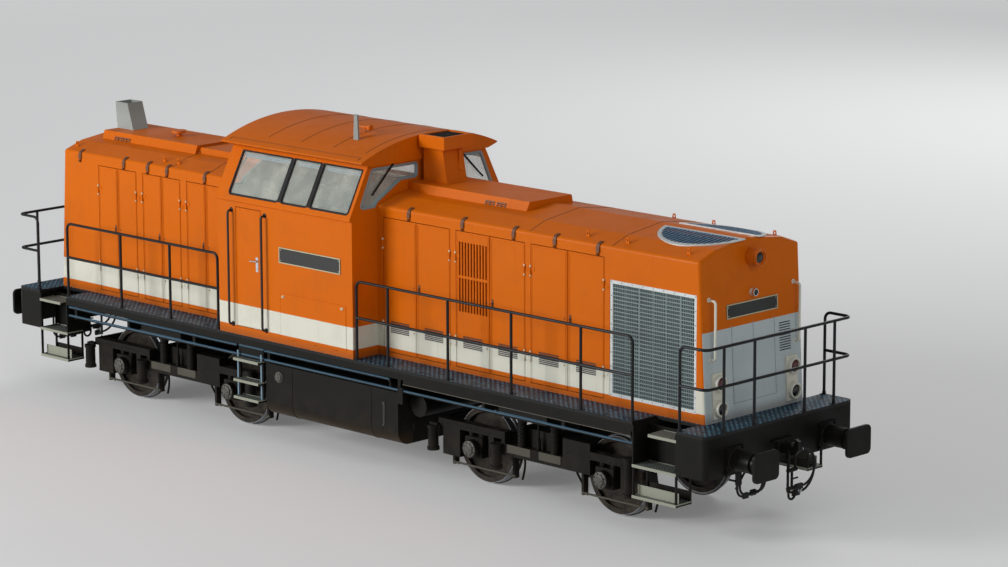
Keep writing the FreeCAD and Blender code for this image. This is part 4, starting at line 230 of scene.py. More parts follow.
HOOD_STARTS = {"front": 0.46, "rear": -2.24}    # where each hood leaves the cab
HOOD_FACE_HALF = 0.918                          # half the width of an end face's pale panel
HOOD_LINING_HALF = 0.903                        # inside this a hood's wall shows its lining, darkened partly as painted shade
HOOD_LINING_TOP = 3.40
HOOK_REACH = 0.936                              # stay hooks stand out beyond this
HOOK_HEIGHTS = (3.30, 3.345)
FACE_BACK = (-0.058, 6.255)                     # slope and foot of a plane just behind an end face
CAB_INSIDE = (-2.168, 0.408)
CAB_LINING_HALF = 1.352
CAB_LEAN_FOOT, CAB_LEAN = 3.365, 0.533          # the cab's sides lean inwards above this
CAB_LINING_TOP = 4.02
FOOT_RISE = 0.16                                # how far road dirt climbs above the deck


def body_paint():
    """Orange with the white waist stripe, pale lower end faces and brown stay hooks."""
    paint = Surface("body_paint", 0.35, 0.0, 0.1)
    x, z = paint.x, paint.z
    reach, half = abs(x), abs(paint.y)
    face = math_node(paint.tree, "MULTIPLY_ADD", z, *FACE_BACK)
    on_end = (reach > face) & (z < FACE_SPLIT) & (half < HOOD_FACE_HALF)
    on_hood = (x > HOOD_STARTS["front"]) | (x < HOOD_STARTS["rear"])
    hook = on_hood & (half > HOOK_REACH) & z.within(*HOOK_HEIGHTS)
    inside = ((half < HOOD_LINING_HALF) & (reach < face) & (z < HOOD_LINING_TOP)
              & (reach > HOOD_STARTS["front"]))
    rise = math_node(paint.tree, "MAXIMUM", z - CAB_LEAN_FOOT, 0.0)
    # inside the cab the lining is pale, partly as painted light
    in_cab = (x.within(*CAB_INSIDE) & (half < CAB_LINING_HALF - rise * CAB_LEAN)
              & z.within(DECK_TOP, CAB_LINING_TOP))
    colour = layered(paint.noise(0.6, 3.0).mix(ORANGE, ORANGE_WARM),
                     (z.within(STRIPE_LOW, STRIPE_TOP), WHITE),
                     (on_end, PALE_FACE),
                     (hook, BROWN),
                     (z.ramp(DECK_TOP, DECK_TOP + FOOT_RISE, 0.45, 0.0), ORANGE_FOOT),
                     (inside, HOOD_LINING_SHADE),
                     (in_cab, CAB_LINING))
    paint.wear(colour, (0.12, 0.055, 0.02), 0.16, 0.3)
    return paint.bump(paint.noise(160.0, 2.0), 0.12, 0.002)


def plain_paint(name, colour, roughness=0.4, amount=0.3, dirt=(0.06, 0.045, 0.03), specular=0.5):
    """One colour of paint with grime and a slight orange peel."""
    paint = Surface(name, roughness, 0.0, specular)
    paint.wear(colour, dirt, amount, roughness, 0.25)
    return paint.bump(paint.noise(120.0, 3.0), 0.15, 0.002)


# where the side pipes' top halves get a painted blue-grey highlight
PIPE_ENDS = (-5.505, 5.395)
PIPE_OUT = (1.322, 1.3685)
LOWER_PIPE_HIGHLIGHT = (1.130 + RAIL, 1.155 + RAIL)
UPPER_PIPE_HIGHLIGHT = (1.252 + RAIL, 1.276 + RAIL)
PIPE_UPPER_END = 1.12
SHELF_OUT, SHELF_HEIGHTS = (1.0605, 1.0695), (0.545 + RAIL, 0.652 + RAIL)
ROD_OUT, ROD_HEIGHTS = (0.864, 0.896), (0.172 + RAIL, 0.207 + RAIL)
TANK_ENDS, TANK_REACH = (-1.33, 1.25), 1.08


def frame_black():
    """Black underframe paint, browner with brake dust lower down, and a blue-grey painted highlight along the
    tops of the side pipes.
    """
    paint = Surface("frame_black", 0.45, 0.0, 0.14)
    x, z, half = paint.x, paint.z, abs(paint.y)
    dust = z.ramp(0.2, 1.3, 1.0, 0.0) * paint.noise(5.0, 5.0, 0.7).ramp(0.35, 0.75)
    # the painted highlight covers only the top half of each side pipe
    upper = z.within(*UPPER_PIPE_HIGHLIGHT) & (x < PIPE_UPPER_END)
    pipe = half.within(*PIPE_OUT) & x.within(*PIPE_ENDS) & (z.within(*LOWER_PIPE_HIGHLIGHT) | upper)
    plate = half.within(*SHELF_OUT) & z.within(*SHELF_HEIGHTS)
    rod = half.within(*ROD_OUT) & z.within(*ROD_HEIGHTS)
    tank_edge = x.within(*TANK_ENDS) & (half > TANK_REACH) & z.ramp(0.44, 0.62, 0.8, 0.0)
    colour = layered(dust.mix(FRAME_COLOUR, (0.022, 0.016, 0.010)),
                     (pipe, (0.055, 0.11, 0.16)),
                     (plate | rod, (0.085, 0.08, 0.062)),
                     (tank_edge, (0.045, 0.026, 0.011)))
    paint.wear(colour, (0.024, 0.019, 0.014), 0.4, 0.38, 0.3)
    return paint.bump(paint.noise(90.0, 4.0), 0.2, 0.003)


def diagonals(surface, first, second):
    """Two crossing sine waves over the level plane."""
    x, y = surface.x, surface.y
    return ((x + y) * first).sine(), ((x - y) * second).sine()


def deck_plate():
    """Steel chequer plate: dark blue ground with raised, worn lozenges."""
    plate = Surface("deck_plate", 0.45, 0.0, 0.25)
    one, other = diagonals(plate, 74.0, 74.0)
    raised = ((one * (other > 0.1)) | (other * (one > 0.1))).ramp(0.0, 0.35)
    speckle = plate.noise(19.0, 3.0, 0.8)
    colour = layered(speckle.ramp(0.4, 0.66).mix((0.001, 0.010, 0.026), (0.004, 0.030, 0.062)),
                     (raised * speckle.ramp(0.40, 0.54, 0.04, 1.0), (0.13, 0.32, 0.43)),
                     (plate.z < DECK_TOP - 0.002, FRAME_COLOUR))
    plate.wear(colour, (0.016, 0.016, 0.015), 0.25, 0.40, 0.25)
    return plate.bump(raised, 0.7, 0.004)


def tread_plate():
    """Pale galvanised step tread with fine diagonal ribs."""
    plate = Surface("tread_plate", 0.5, 0.25)
    ribs, counter = diagonals(plate, 230.0, 95.0)
    raised = ribs.ramp(-0.2, 0.5) * counter.ramp(-0.6, 0.1, 0.35, 1.0)
    plate.wear(raised.mix((0.035, 0.045, 0.042), (0.36, 0.39, 0.34)), (0.10, 0.09, 0.07), 0.35, 0.45)
    return plate.bump(raised, 0.6, 0.003)


def polished(name, colour, roughness, streak):
    """Bright metal with streaks."""
    metal = Surface(name, roughness, 0.9)
    metal.wear(colour, (0.05, 0.035, 0.025), streak, roughness, 0.3)
    return metal.bump(metal.noise(220.0, 2.0), 0.1, 0.001)


SCREEN_RIM = 0.043
GUARD_RIM = 0.045
GUARD_BRIDGE = 0.168               # half the width of the bar between the two fan guards
GUARD_LOW = 3.3


def grille_metal():
    """Radiator screens and fan guards: near-white rims round blue-grey slats."""
    metal = Surface("grille_metal", 0.4, 0.3)
    x, y, z = metal.x, metal.y, metal.z
    low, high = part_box("radiator_grilles")
    middle = (x.within(low[0] + SCREEN_RIM, high[0] - SCREEN_RIM)
              & z.within(low[2] + SCREEN_RIM, high[2] - SCREEN_RIM))
    low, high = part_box("fan_guard")
    distance = (x - (low[0] + high[0]) / 2).away(y)
    slat = ((z > GUARD_LOW) & (distance < (high[0] - low[0]) / 2 - GUARD_RIM)
            & (abs(y) > GUARD_BRIDGE))
    blue = metal.noise(60.0, 3.0, 0.7).ramp(0.35, 0.7).mix((0.05, 0.13, 0.24), (0.22, 0.36, 0.50))
    colour = layered(middle.mix((0.60, 0.63, 0.62), (0.17, 0.22, 0.22)), (slat, blue))
    metal.wear(colour, (0.10, 0.10, 0.09), 0.25, 0.36)
    return metal.bump(metal.noise(90.0, 3.0), 0.15, 0.002)


def roof_fitting():
    """Orange lamp barrels, horn and cap; grey stack and fin."""
    paint = Surface("roof_fitting", 0.4, 0.0, 0.4)
    stack = (paint.x < -5.40) & (paint.z > 3.60)
    fin = abs(paint.y) > 0.70
    orange = paint.noise(3.0, 3.0).mix(ORANGE, ORANGE_WARM)
    grey = paint.z.ramp(3.65, 4.1).mix((0.36, 0.40, 0.38), (0.27, 0.29, 0.27))
    paint.wear((stack | fin).mix(orange, grey), (0.06, 0.045, 0.03), 0.2)
    return paint.bump(paint.noise(140.0, 2.0), 0.12, 0.002)


def lamp_paint():
    """White lamp bodies and end handles; the handles beside the cab doors are black."""
    paint = Surface("lamp_white", 0.35)
    by_cab = abs(paint.y) > 1.2
    paint.wear(by_cab.mix(WHITE, BLACK), (0.08, 0.07, 0.06), 0.2, 0.3)
    return paint.bump(paint.noise(150.0, 2.0), 0.1, 0.001)


TREAD_RING = (0.494, 0.515)        # radii between which a wheel is bright


def wheel_metal():
    """Wheelsets: grimy discs with a bright, rolled tread."""
    metal = Surface("wheel_steel", 0.45, 0.55, 0.4)
    up = metal.z - AXLE_HEIGHT
    axles = [joint["pos_m"][0] for name, joint in JOINTS.items() if name.startswith("wheelset")]
    rings = [(metal.x - axle).away(up).within(*TREAD_RING) for axle in axles]
    bright = rings[0]
    for ring in rings[1:]:
        bright = bright | ring
    disc = metal.noise(9.0, 5.0, 0.7).ramp(0.35, 0.7).mix((0.020, 0.017, 0.014), (0.055, 0.042, 0.030))
    metal.wear(bright.mix(disc, (0.30, 0.31, 0.33)), (0.035, 0.025, 0.018), 0.3, 0.34, 0.3)
    return metal.bump(metal.noise(130.0, 3.0), 0.15, 0.002)


def darker(colour, share):
    """A share of a colour's brightness."""
    return tuple(channel * share for channel in colour)


def fabric(name, colour):
    """Woven seat cloth."""
    cloth = Surface(name, 0.9, 0.0, 0.2)
    weave = ((cloth.x + cloth.z) * 900.0).sine() * (cloth.y * 900.0).sine()
    tone = cloth.noise(14.0).ramp(0.3, 0.7, 0.0, 0.5)
    cloth.feed("Base Color", tone.mix(colour, darker(colour, 0.6)))
    return cloth.bump(weave, 0.4, 0.001)


def clear_glass():
    """Window glass: a thin, faintly green pale film that paints a milky reflection over the pane, with sharp
    highlights.
    """
    glass = Surface("clear_glass", 0.05, 0.0, 0.6)
    reflection_haze = glass.noise(2.2).ramp(0.3, 0.8)
    # the pale, partly opaque base colour is a painted reflection
    glass.feed("Base Color", reflection_haze.mix((0.72, 0.80, 0.74), (0.84, 0.86, 0.76)))
    glass.feed("Alpha", reflection_haze.ramp(0.0, 1.0, 0.20, 0.34))
    glass.feed("Roughness", glass.noise(3.0).ramp(0.3, 0.8, 0.03, 0.09))
    return glass.material


def lens_glass(name, colour, roughness=0.12):
    """Coloured lamp glass with moulded ribs."""
    glass = Surface(name, roughness, 0.0, 0.6)
    tone = glass.noise(30.0, 3.0).ramp(0.3, 0.7)
    glass.feed("Base Color", tone.mix(colour, darker(colour, 0.5)))
    glass.feed("Roughness", tone.ramp(0.0, 1.0, roughness, roughness + 0.1))
    return glass.bump((glass.y * 520.0).sine(), 0.3, 0.001)


PAINT = body_paint()
FRAME_BLACK = frame_black()
RAIL_BLACK = plain_paint("rail_black", (0.0035, 0.004, 0.0055), 0.3, 0.15, (0.02, 0.017, 0.012), 0.3)
RUBBER = plain_paint("rubber_black", (0.010, 0.010, 0.011), 0.55, 0.3, (0.03, 0.028, 0.025), 0.3)
GREY = roof_fitting()
PALE = lamp_paint()
DECK = deck_plate()
TREAD = tread_plate()
WHEEL = wheel_metal()
GRILLE = grille_metal()
ENGINE = plain_paint("engine_grey", (0.09, 0.105, 0.10), 0.5, 0.4)
PLASTIC = plain_paint("cab_grey", (0.70, 0.74, 0.68), 0.6, 0.15)
GLASS = clear_glass()
STEP_WHITE = plain_paint("step_cream", (0.29, 0.30, 0.235), 0.5, 0.35, (0.16, 0.14, 0.10))
SLAT = plain_paint("slat_pale", (0.17, 0.22, 0.22))
FRAME_PALE = plain_paint("window_frame_pale", (0.22, 0.31, 0.33), 0.45, 0.2)
LATCH = plain_paint("latch_brown", BROWN)
KNUCKLE = plain_paint("knuckle_cream", (0.72, 0.62, 0.42), 0.4, 0.2)
PIPE_BLUE = plain_paint("pipe_blue", (0.16, 0.26, 0.34), 0.35)
FITTING = plain_paint("fitting_grey", (0.075, 0.072, 0.06), 0.45, 0.4)
# dark strips painted over the door vents as the slots together with their shadows
LOUVRE_SHADOW = plain_paint("louvre_dark", (0.035, 0.012, 0.006), 0.5)
SLOT_SHADOW_GREY = plain_paint("louvre_grey", (0.028, 0.028, 0.03), 0.5)
# paler brown along the skirts' rolled lips: a painted highlight
LIP_HIGHLIGHT = plain_paint("lip_brown", (0.085, 0.074, 0.055), 0.5, 0.5)
CHROME = polished("chrome", (0.62, 0.64, 0.66), 0.18, 0.15)
PLATE_BLACK = plain_paint("plate_black", (0.010, 0.012, 0.011), 0.35, 0.2)
CREAM = plain_paint("border_cream", (0.52, 0.47, 0.30), 0.4, 0.25)
SEAM = plain_paint("seam_dark", (0.28, 0.075, 0.008), 0.6, 0.2)
PALE_SEAM = plain_paint("seam_pale", (0.24, 0.27, 0.28), 0.6, 0.2)
RED_LENS = lens_glass("lens_red", (0.10, 0.004, 0.004))
BLACK_LENS = lens_glass("lens_black", (0.006, 0.005, 0.005))
SCREEN = lens_glass("screen_dark", (0.012, 0.03, 0.035), 0.2)
CLOTH = fabric("seat_cloth", (0.045, 0.055, 0.07))

SLOT_MATERIALS = {
    "body_paint": PAINT,
    "wheel_steel": WHEEL,
    "rail_paint": RAIL_BLACK,
    "deck_plate": DECK,
    "grille_metal": GRILLE,
    "engine_paint": ENGINE,
    "window_glass": GLASS,
    "cab_plastic": PLASTIC,
    "lamp_body": PALE,
    "grey_paint": GREY,
    "frame_paint": FRAME_BLACK,
    "hose_rubber": RUBBER,
}


def paint_nodes():
    """Every CAD node takes the material of its slot in the record."""
    for entry in frame["record"]["subparts"]:
        mesh = NODES[entry["node"]].data
        mesh.materials.clear()
        mesh.materials.append(SLOT_MATERIALS[entry["material_slot"]])


paint_nodes()

# --- Mesh code: every fitting is built in a local frame, with its back on a surface ---

def local(origin, across, outward):
    """A frame whose first axis runs across a surface, the second up it and the third out of it."""
    outward = Vector(outward).normalized()
    across = Vector(across)
    across = (across - outward * across.dot(outward)).normalized()
    upward = outward.cross(across)
    turn = Matrix((across, upward, outward)).transposed().to_4x4()
    return Matrix.Translation(origin) @ turn


def on_side(sign, x, z, y=HOOD_HALF):
    """A frame on a side wall."""
    return local((x, sign * y, z), (-sign, 0, 0), (0, sign, 0))


def face_x(end, z):
    """Where the leaning end face of a hood lies at a height."""
    return ENDS[end] * (FACE_FOOT[end] - FACE_LEAN[end] * z)


def on_face(end, y, z):
    """A frame on a hood's leaning end face."""
    along = ENDS[end]
    return local((face_x(end, z), y, z), (0, along, 0), (along, 0, FACE_LEAN[end]))


def on_end(end, y, z, x):
    """A frame on an upright face across an end of the body."""
    along = ENDS[end]
    return local((along * x, y, z), (0, along, 0), (along, 0, 0))


def level(x, y, z):
    """A frame on a level surface."""
    return local((x, y, z), (1, 0, 0), (0, 0, 1))


def moved(place, across=0.0, upward=0.0, outward=0.0):
    """A frame shifted along its own axes."""
    return place @ Matrix.Translation((across, upward, outward))


def new_mesh():
    """An empty mesh to build a piece in."""
    return bmesh.new()


def new_meshes(number):
    """Several empty meshes."""
    return [bmesh.new() for _ in range(number)]


def add_block(mesh, place, across, upward, outward):
    """A block between pairs of limits in a frame."""
    limits = (across, upward, outward)
    middle = Vector([(low + high) / 2 for low, high in limits])
    size = Matrix.Diagonal([abs(high - low) for low, high in limits] + [1.0])
    bmesh.ops.create_cube(mesh, size=1.0, matrix=place @ Matrix.Translation(middle) @ size)


def add_panel(mesh, place, half_across, half_up, outward):
    """A block that reaches equally far to both sides of a frame."""
    add_block(mesh, place, (-half_across, half_across), (-half_up, half_up), outward)


def add_turned(mesh, place, profile, sides=24):
    """A turned shape about a frame's outward axis, from (radius, height) pairs."""
    rings = []
    for radius, height in profile:
        if radius == 0:
            rings.append([mesh.verts.new(place @ Vector((0, 0, height)))])
        else:
            turns = [2 * math.pi * index / sides for index in range(sides)]
            rings.append([mesh.verts.new(place @ Vector((radius * math.cos(a), radius * math.sin(a), height)))
                          for a in turns])
    for lower, upper in zip(rings, rings[1:]):
        for index in range(sides):
            following = (index + 1) % sides
            corners = [lower[index % len(lower)], lower[following % len(lower)],
                       upper[following % len(upper)], upper[index % len(upper)]]
            corners = list(dict.fromkeys(corners))
            if len(corners) > 2:
                mesh.faces.new(corners)


def head(radius, height, tip, top):
    """The profile of a stud: upright to a height, then drawn in to a flat tip."""
    return [(radius, 0), (radius, height), (tip, top), (0, top)]


SCREW = head(0.007, 0.002, 0.003, 0.0035)
STUD = head(0.010, 0.004, 0.006, 0.006)
RIVET = [(0.011, -0.001), (0.010, 0.004), (0.006, 0.007), (0, 0.008)]
SMALL_RIVET = [(0.010, -0.001), (0.009, 0.004), (0.005, 0.006), (0, 0.007)]
BEAM_RIVET = [(0.010, -0.001), (0.009, 0.003), (0.005, 0.006), (0, 0.007)]


def add_bar(mesh, start, end, radius, sides=12):
    """A round bar with closed ends between two points."""
    run = Vector(end) - Vector(start)
    across = (0, 0, 1) if abs(run.normalized().z) < 0.9 else (1, 0, 0)
    profile = [(0, 0), (radius, 0), (radius, run.length), (0, run.length)]
    add_turned(mesh, local(start, across, run), profile, sides)


def add_bolt(mesh, place, size):
    """A washer and a hexagonal head; size is the thread's radius."""
    add_turned(mesh, place, [(2.2 * size, 0), (2.2 * size, 0.3 * size), (0, 0.3 * size)], 12)
    add_turned(mesh, place, [(1.7 * size, 0.3 * size), (1.7 * size, 1.2 * size), (1.4 * size, 1.5 * size),
                             (0, 1.5 * size)], 6)


def add_bolt_ring(mesh, place, radius, number, size, turn=0.0):
    """Bolts spaced evenly round a circle."""
    for index in range(number):
        angle = turn + 2 * math.pi * index / number
        add_bolt(mesh, moved(place, radius * math.cos(angle), radius * math.sin(angle)), size)


def add_border(mesh, place, across, upward, width, outward):
    """Four strips round the inside of a rectangle."""
    add_block(mesh, place, across, (upward[0], upward[0] + width), outward)
    add_block(mesh, place, across, (upward[1] - width, upward[1]), outward)
    inner = (upward[0] + width, upward[1] - width)
    add_block(mesh, place, (across[0], across[0] + width), inner, outward)
    add_block(mesh, place, (across[1] - width, across[1]), inner, outward)


def add_strap(mesh, spots, across, half_width, outward, shortest=0.0):
    """Blocks from each (point, normal) on a skin to the next."""
    for (first, normal), (second, _) in zip(spots, spots[1:]):
        length = (second - first).length
        if length > shortest:
            half = length / 2 + 0.001
            add_panel(mesh, local((first + second) / 2, across, normal), half_width, half, outward)


def piece(name, mesh, material, body="root", bevel=0.0, smooth=35.0):
    """A finished piece: its edges broken by a bevel, riding on a body."""
    data = bpy.data.meshes.new(name)
    bmesh.ops.recalc_face_normals(mesh, faces=mesh.faces)
    mesh.to_mesh(data)
    mesh.free()
    data.shade_smooth()
    data.set_sharp_from_angle(angle=math.radians(smooth))
    data.materials.append(material)
    made = bpy.data.objects.new(name, data)
    bpy.context.scene.collection.objects.link(made)
    if bevel:
        modifier = made.modifiers.new("broken_edges", "BEVEL")
        modifier.width = bevel
        modifier.segments = 2
        modifier.limit_method = "ANGLE"
        modifier.harden_normals = True
    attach(made, body)
    return made


def tubes(name, routes, radius, material, body="root", closed=False, smooth=False):
    """Round tubes along lists of points."""
    curve = bpy.data.curves.new(name, "CURVE")
    curve.dimensions = "3D"
    curve.bevel_depth = radius
    curve.bevel_resolution = 3
    curve.use_fill_caps = not closed
    for route in routes:
        spline = curve.splines.new("NURBS" if smooth else "POLY")
        spline.points.add(len(route) - 1)
        for point, spot in zip(spline.points, route):
            point.co = (*spot, 1.0)
        if smooth:
            spline.order_u = 3
            spline.use_endpoint_u = True
            spline.resolution_u = 8
        spline.use_cyclic_u = closed
    curve.materials.append(material)
    made = bpy.data.objects.new(name, curve)
    bpy.context.scene.collection.objects.link(made)
    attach(made, body)
    return made


def surface_of(node):
    """A CAD node's skin, to set things down on."""
    mesh = bmesh.new()
    mesh.from_mesh(NODES[node].data)
    tree = BVHTree.FromBMesh(mesh)
    mesh.free()
    return tree


def seated(skin, start, direction, across):
    """A frame where a ray from start first meets a skin."""
    spot, normal, _, _ = skin.ray_cast(Vector(start), Vector(direction))
    if normal.dot(Vector(direction)) > 0:
        normal = -normal
    return local(spot, across, normal)


def blank_plate(name, place, half_across, half_up, body="root"):
    """A black plate with a raised cream border and corner screws, without any lettering."""
    mesh = new_mesh()
    add_panel(mesh, place, half_across, half_up, (-0.004, 0.008))
    piece(f"{name}_field", mesh, PLATE_BLACK, body, 0.002)
    mesh = new_mesh()
    add_border(mesh, moved(place, 0, 0, 0.006), (-half_across, half_across), (-half_up, half_up), 0.014,
               (0, 0.006))
    for across in (-1, 1):
        for upward in (-1, 1):
            spot = moved(place, across * (half_across - 0.035), upward * (half_up - 0.035), 0.008)
            add_turned(mesh, spot, head(0.008, 0.002, 0.004, 0.004), 12)
    piece(f"{name}_border", mesh, CREAM, body, 0.0015)

# --- Hood sides: leaf beading, latches, hinge caps ---

LATCH_HEIGHT = 2.40 + RAIL
KNUCKLE_HEIGHTS = (1.78 + RAIL, 2.88 + RAIL)
KNUCKLE_TALL = 0.10
LOW_STUD_DROP = 0.6
VENT_LOW = 1.755 + RAIL
VENT_PITCH = 0.023
VENT_ROWS = 7
VENT_HALF = 0.170
VENT_DARK_FROM = 5             # the rows above the stripe are darker: brown painted slot shadows, grey ones in the stripe


def add_beading(mesh, place, low, high, inset, rise):
    """A raised bead a little way in from the edges of a door."""
    half = (high[0] - low[0]) / 2 - inset
    add_border(mesh, place, (-half, half), (low[2] + inset, high[2] - inset), 0.010, (-0.001, rise))


def dress_hood_door(name):
    """Beading round a leaf, and on the leaf away from the hinge a latch with its handle."""
    low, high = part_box(name)
    sign = 1 if low[1] > 0 else -1
    pin = JOINTS[f"{name}_swing"]["pos_m"][0]
    hinge_high = abs(high[0] - pin) < abs(low[0] - pin)
    middle = (low[0] + high[0]) / 2
    half = (high[0] - low[0]) / 2
    place = on_side(sign, middle, 0.0)
    mesh = new_mesh()
    add_beading(mesh, place, low, high, 0.026, 0.0035)
    free_edge = middle - half if hinge_high else middle + half
    inward = 1 if hinge_high else -1
    strip = free_edge + inward * 0.011
    add_block(mesh, on_side(sign, strip, 0.0), (-0.008, 0.008), (low[2] + 0.012, high[2] - 0.012),
              (-0.001, 0.005))
    piece(f"{name}_beading", mesh, PAINT, name, 0.0012)
    if "front" in name:
        mesh, pale = new_meshes(2)
        # each row is a dark strip a little proud of the door, painting the slot together with its shadow
        for row in range(VENT_ROWS):
            lip = moved(place, 0, VENT_LOW + row * VENT_PITCH)
            slots = mesh if row >= VENT_DARK_FROM else pale
            add_block(slots, lip, (-VENT_HALF, VENT_HALF), (-0.003, 0.012), (-0.004, 0.0018))
        piece(f"{name}_vent_slots", mesh, LOUVRE_SHADOW, name)
        piece(f"{name}_low_vent_slots", pale, SLOT_SHADOW_GREY, name)
    mesh = new_mesh()
    spot = on_side(sign, free_edge + inward * 0.046, LATCH_HEIGHT)
    if name.endswith("b"):
        add_panel(mesh, spot, 0.016, 0.062, (-0.001, 0.006))
        add_turned(mesh, moved(spot, 0, 0.012, 0.005), head(0.013, 0.010, 0.009, 0.014), 16)
        add_block(mesh, spot, (-0.006, 0.006), (-0.054, 0.020), (0.012, 0.019))
        for upward in (-0.052, 0.052):
            add_turned(mesh, moved(spot, 0, upward, 0.006), [(0.005, 0), (0.005, 0.002), (0, 0.003)], 8)
        piece(f"{name}_latch", mesh, LATCH, name, 0.0012)
    else:
        for drop in (0, LOW_STUD_DROP):
            add_turned(mesh, moved(spot, 0, -drop, 0), STUD, 16)
        piece(f"{name}_lock_studs", mesh, LATCH, name, 0.001)


def dress_hinges():
    """Cream caps on the ends of the hood doors' hinge pins."""
    mesh = new_mesh()
    for name, joint in JOINTS.items():
        if name.startswith("door_"):
            x, y, _ = joint["pos_m"]
            for low in KNUCKLE_HEIGHTS:
                for foot, tip in ((low, low - 0.022), (low + KNUCKLE_TALL, low + 0.124)):
                    add_turned(mesh, local((x, y, foot), (1, 0, 0), (0, 0, tip - foot)),
                               head(0.0125, 0.014, 0.008, abs(tip - foot)), 14)
    piece("hinge_caps", mesh, KNUCKLE)


for door in sorted(name for name in NODES if name.startswith("door_")):
    dress_hood_door(door)
dress_hinges()

# --- Radiator screens, fan, roof vents and seams ---

CORE_ROWS, CORE_PITCH = 23, 0.063


def make_screen_slats():
    """Fine upright slats behind the rows of each radiator screen, and its frame's screws."""
    low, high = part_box("radiator_grilles")
    rim = 0.042
    pitch = 0.0295
    slats, screws, core = new_meshes(3)
    number = int((high[0] - low[0] - 2 * rim) / pitch)
    for sign in SIDES:
        wall = high[1]
        for index in range(1, number + 1):
            place = on_side(sign, low[0] + rim + index * pitch - pitch / 2, 0.0, wall)
            add_block(slats, place, (-0.0055, 0.0055), (low[2] + rim - 0.004, high[2] - rim + 0.004),
                      (-0.017, -0.005))
        middle = on_side(sign, (low[0] + high[0]) / 2, 0.0, wall)
        half = (high[0] - low[0]) / 2 - rim / 2
        add_block(core, middle, (-half, half), (low[2] + rim / 2, high[2] - rim / 2), (-0.060, -0.040))
        for row in range(CORE_ROWS):
            height = low[2] + rim + 0.03 + row * CORE_PITCH
            add_block(core, middle, (-half, half), (height, height + 0.006), (-0.041, -0.034))
        for step in range(9):
            for height in (low[2] + rim / 2, high[2] - rim / 2):
                spot = on_side(sign, low[0] + rim / 2 + step * (high[0] - low[0] - rim) / 8, height, wall)
                add_turned(screws, spot, SCREW, 10)
        for step in range(1, 8):
            for x in (low[0] + rim / 2, high[0] - rim / 2):
                spot = on_side(sign, x, low[2] + rim / 2 + step * (high[2] - low[2] - rim) / 8, wall)
                add_turned(screws, spot, SCREW, 10)
    piece("screen_slats", slats, SLAT)
    piece("screen_screws", screws, FITTING)
    piece("radiator_cores", core, PLATE_BLACK, bevel=0.001)


def make_fan_details():
    """Hub cap and blade bolts on the fan."""
    low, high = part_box("fan")
    centre = level((low[0] + high[0]) / 2, 0.0, high[2])
    mesh = new_mesh()
    add_turned(mesh, moved(centre, 0, 0, -0.004),
               [(0.075, 0), (0.075, 0.010), (0.055, 0.024), (0.020, 0.030), (0, 0.030)], 28)
    add_bolt_ring(mesh, moved(centre, 0, 0, 0.006), 0.062, 6, 0.005)
    piece("fan_hub_cap", mesh, FITTING, "fan")


STRAP_HALF, STRAP_FOOT = 0.027, (3.352, 3.412)


def make_stay_brackets():
    """Straps over the eaves, one on each stay that carries a hook."""
    mesh = new_mesh()
    for node in ("hood_front_roof", "hood_rear_roof"):
        skin = surface_of(node)
        for sign in SIDES:
            places = sorted(vertex.co.x for vertex in NODES[node].data.vertices
                            if sign * vertex.co.y > HOOD_HALF + 0.012 and vertex.co.z > 3.2)
            middles = []
            for x in places:
                if not middles or x - middles[-1][-1] > 0.08:
                    middles.append([x])
                middles[-1].append(x)
            for group in middles:
                x = (group[0] + group[-1]) / 2
                add_block(mesh, on_side(sign, x, 0.0), (-STRAP_HALF, STRAP_HALF), STRAP_FOOT, (-0.001, 0.019))
                hub = Vector((x + 0.06, sign * (HOOD_HALF - 0.08), 3.37))
                spots = []
                for index in range(13):
                    angle = math.radians(20 + 66 * index / 12)
                    aim = Vector((0, sign * math.cos(angle), math.sin(angle)))
                    spot, normal, _, _ = skin.ray_cast(hub + aim * 0.3, -aim)
                    if spot:
                        outward = normal if normal.dot(aim) > 0 else -normal
                        spots.append((spot - Vector((0.06, 0, 0)), outward))
                add_strap(mesh, spots, (-sign, 0, 0), STRAP_HALF, (-0.003, 0.013))
    piece("stay_brackets", mesh, LATCH, bevel=0.002)


def make_duct_mouth():
    """A dark bar grating inside the mouth of the duct before the cab."""
    rim = [vertex.co for vertex in NODES["hood_front_roof"].data.vertices if vertex.co.z > 4.12]
    low = [min(spot[axis] for spot in rim) for axis in range(3)]
    high = [max(spot[axis] for spot in rim) for axis in range(3)]
    place = level((low[0] + high[0]) / 2, (low[1] + high[1]) / 2, high[2])
    wide, deep = (high[0] - low[0]) / 2 - 0.034, (high[1] - low[1]) / 2 - 0.034
    mesh = new_mesh()
    add_panel(mesh, place, wide, deep, (-0.036, -0.028))
    for index in range(9):
        y = -deep + (index + 0.5) * 2 * deep / 9
        add_block(mesh, place, (-wide, wide), (y - 0.006, y + 0.006), (-0.030, -0.014))
    piece("duct_grating", mesh, FRAME_BLACK)


HUMP_VENTS = {"hood_front_roof": (2.025, 2.235), "hood_rear_roof": (-5.435, -5.255)}
HUMP_VENT_HEIGHT = 3.555 + RAIL


def make_hump_vents():
    """Pairs of small brown louvred vents in the sides of the roof humps."""
    mesh = new_mesh()
    for node, starts in HUMP_VENTS.items():
        skin = surface_of(node)
        for sign in SIDES:
            for x in starts:
                place = seated(skin, (x, sign * 1.5, HUMP_VENT_HEIGHT), (0, -sign, 0), (-sign, 0, 0))
                add_border(mesh, place, (-0.082, 0.082), (-0.056, 0.056), 0.012, (-0.006, 0.007))
                for row in range(4):
                    tilt = moved(place, 0, -0.036 + row * 0.024) @ Matrix.Rotation(math.radians(-35), 4, "X")
                    add_panel(mesh, tilt, 0.072, 0.009, (0.0, 0.003))
                add_panel(mesh, place, 0.005, 0.050, (0.002, 0.009))
    piece("hump_vents", mesh, LATCH, bevel=0.001)


# half-width and places along the body of each roof's seams
RIB_PLACES = {"cab_roof": (1.02, (-1.55, -0.92, -0.29, 0.34)),
              "hood_front_roof": (0.90, (3.20, 4.62)),
              "hood_rear_roof": (0.90, (-3.72, -2.95))}
ABOVE_ALL = 4.8


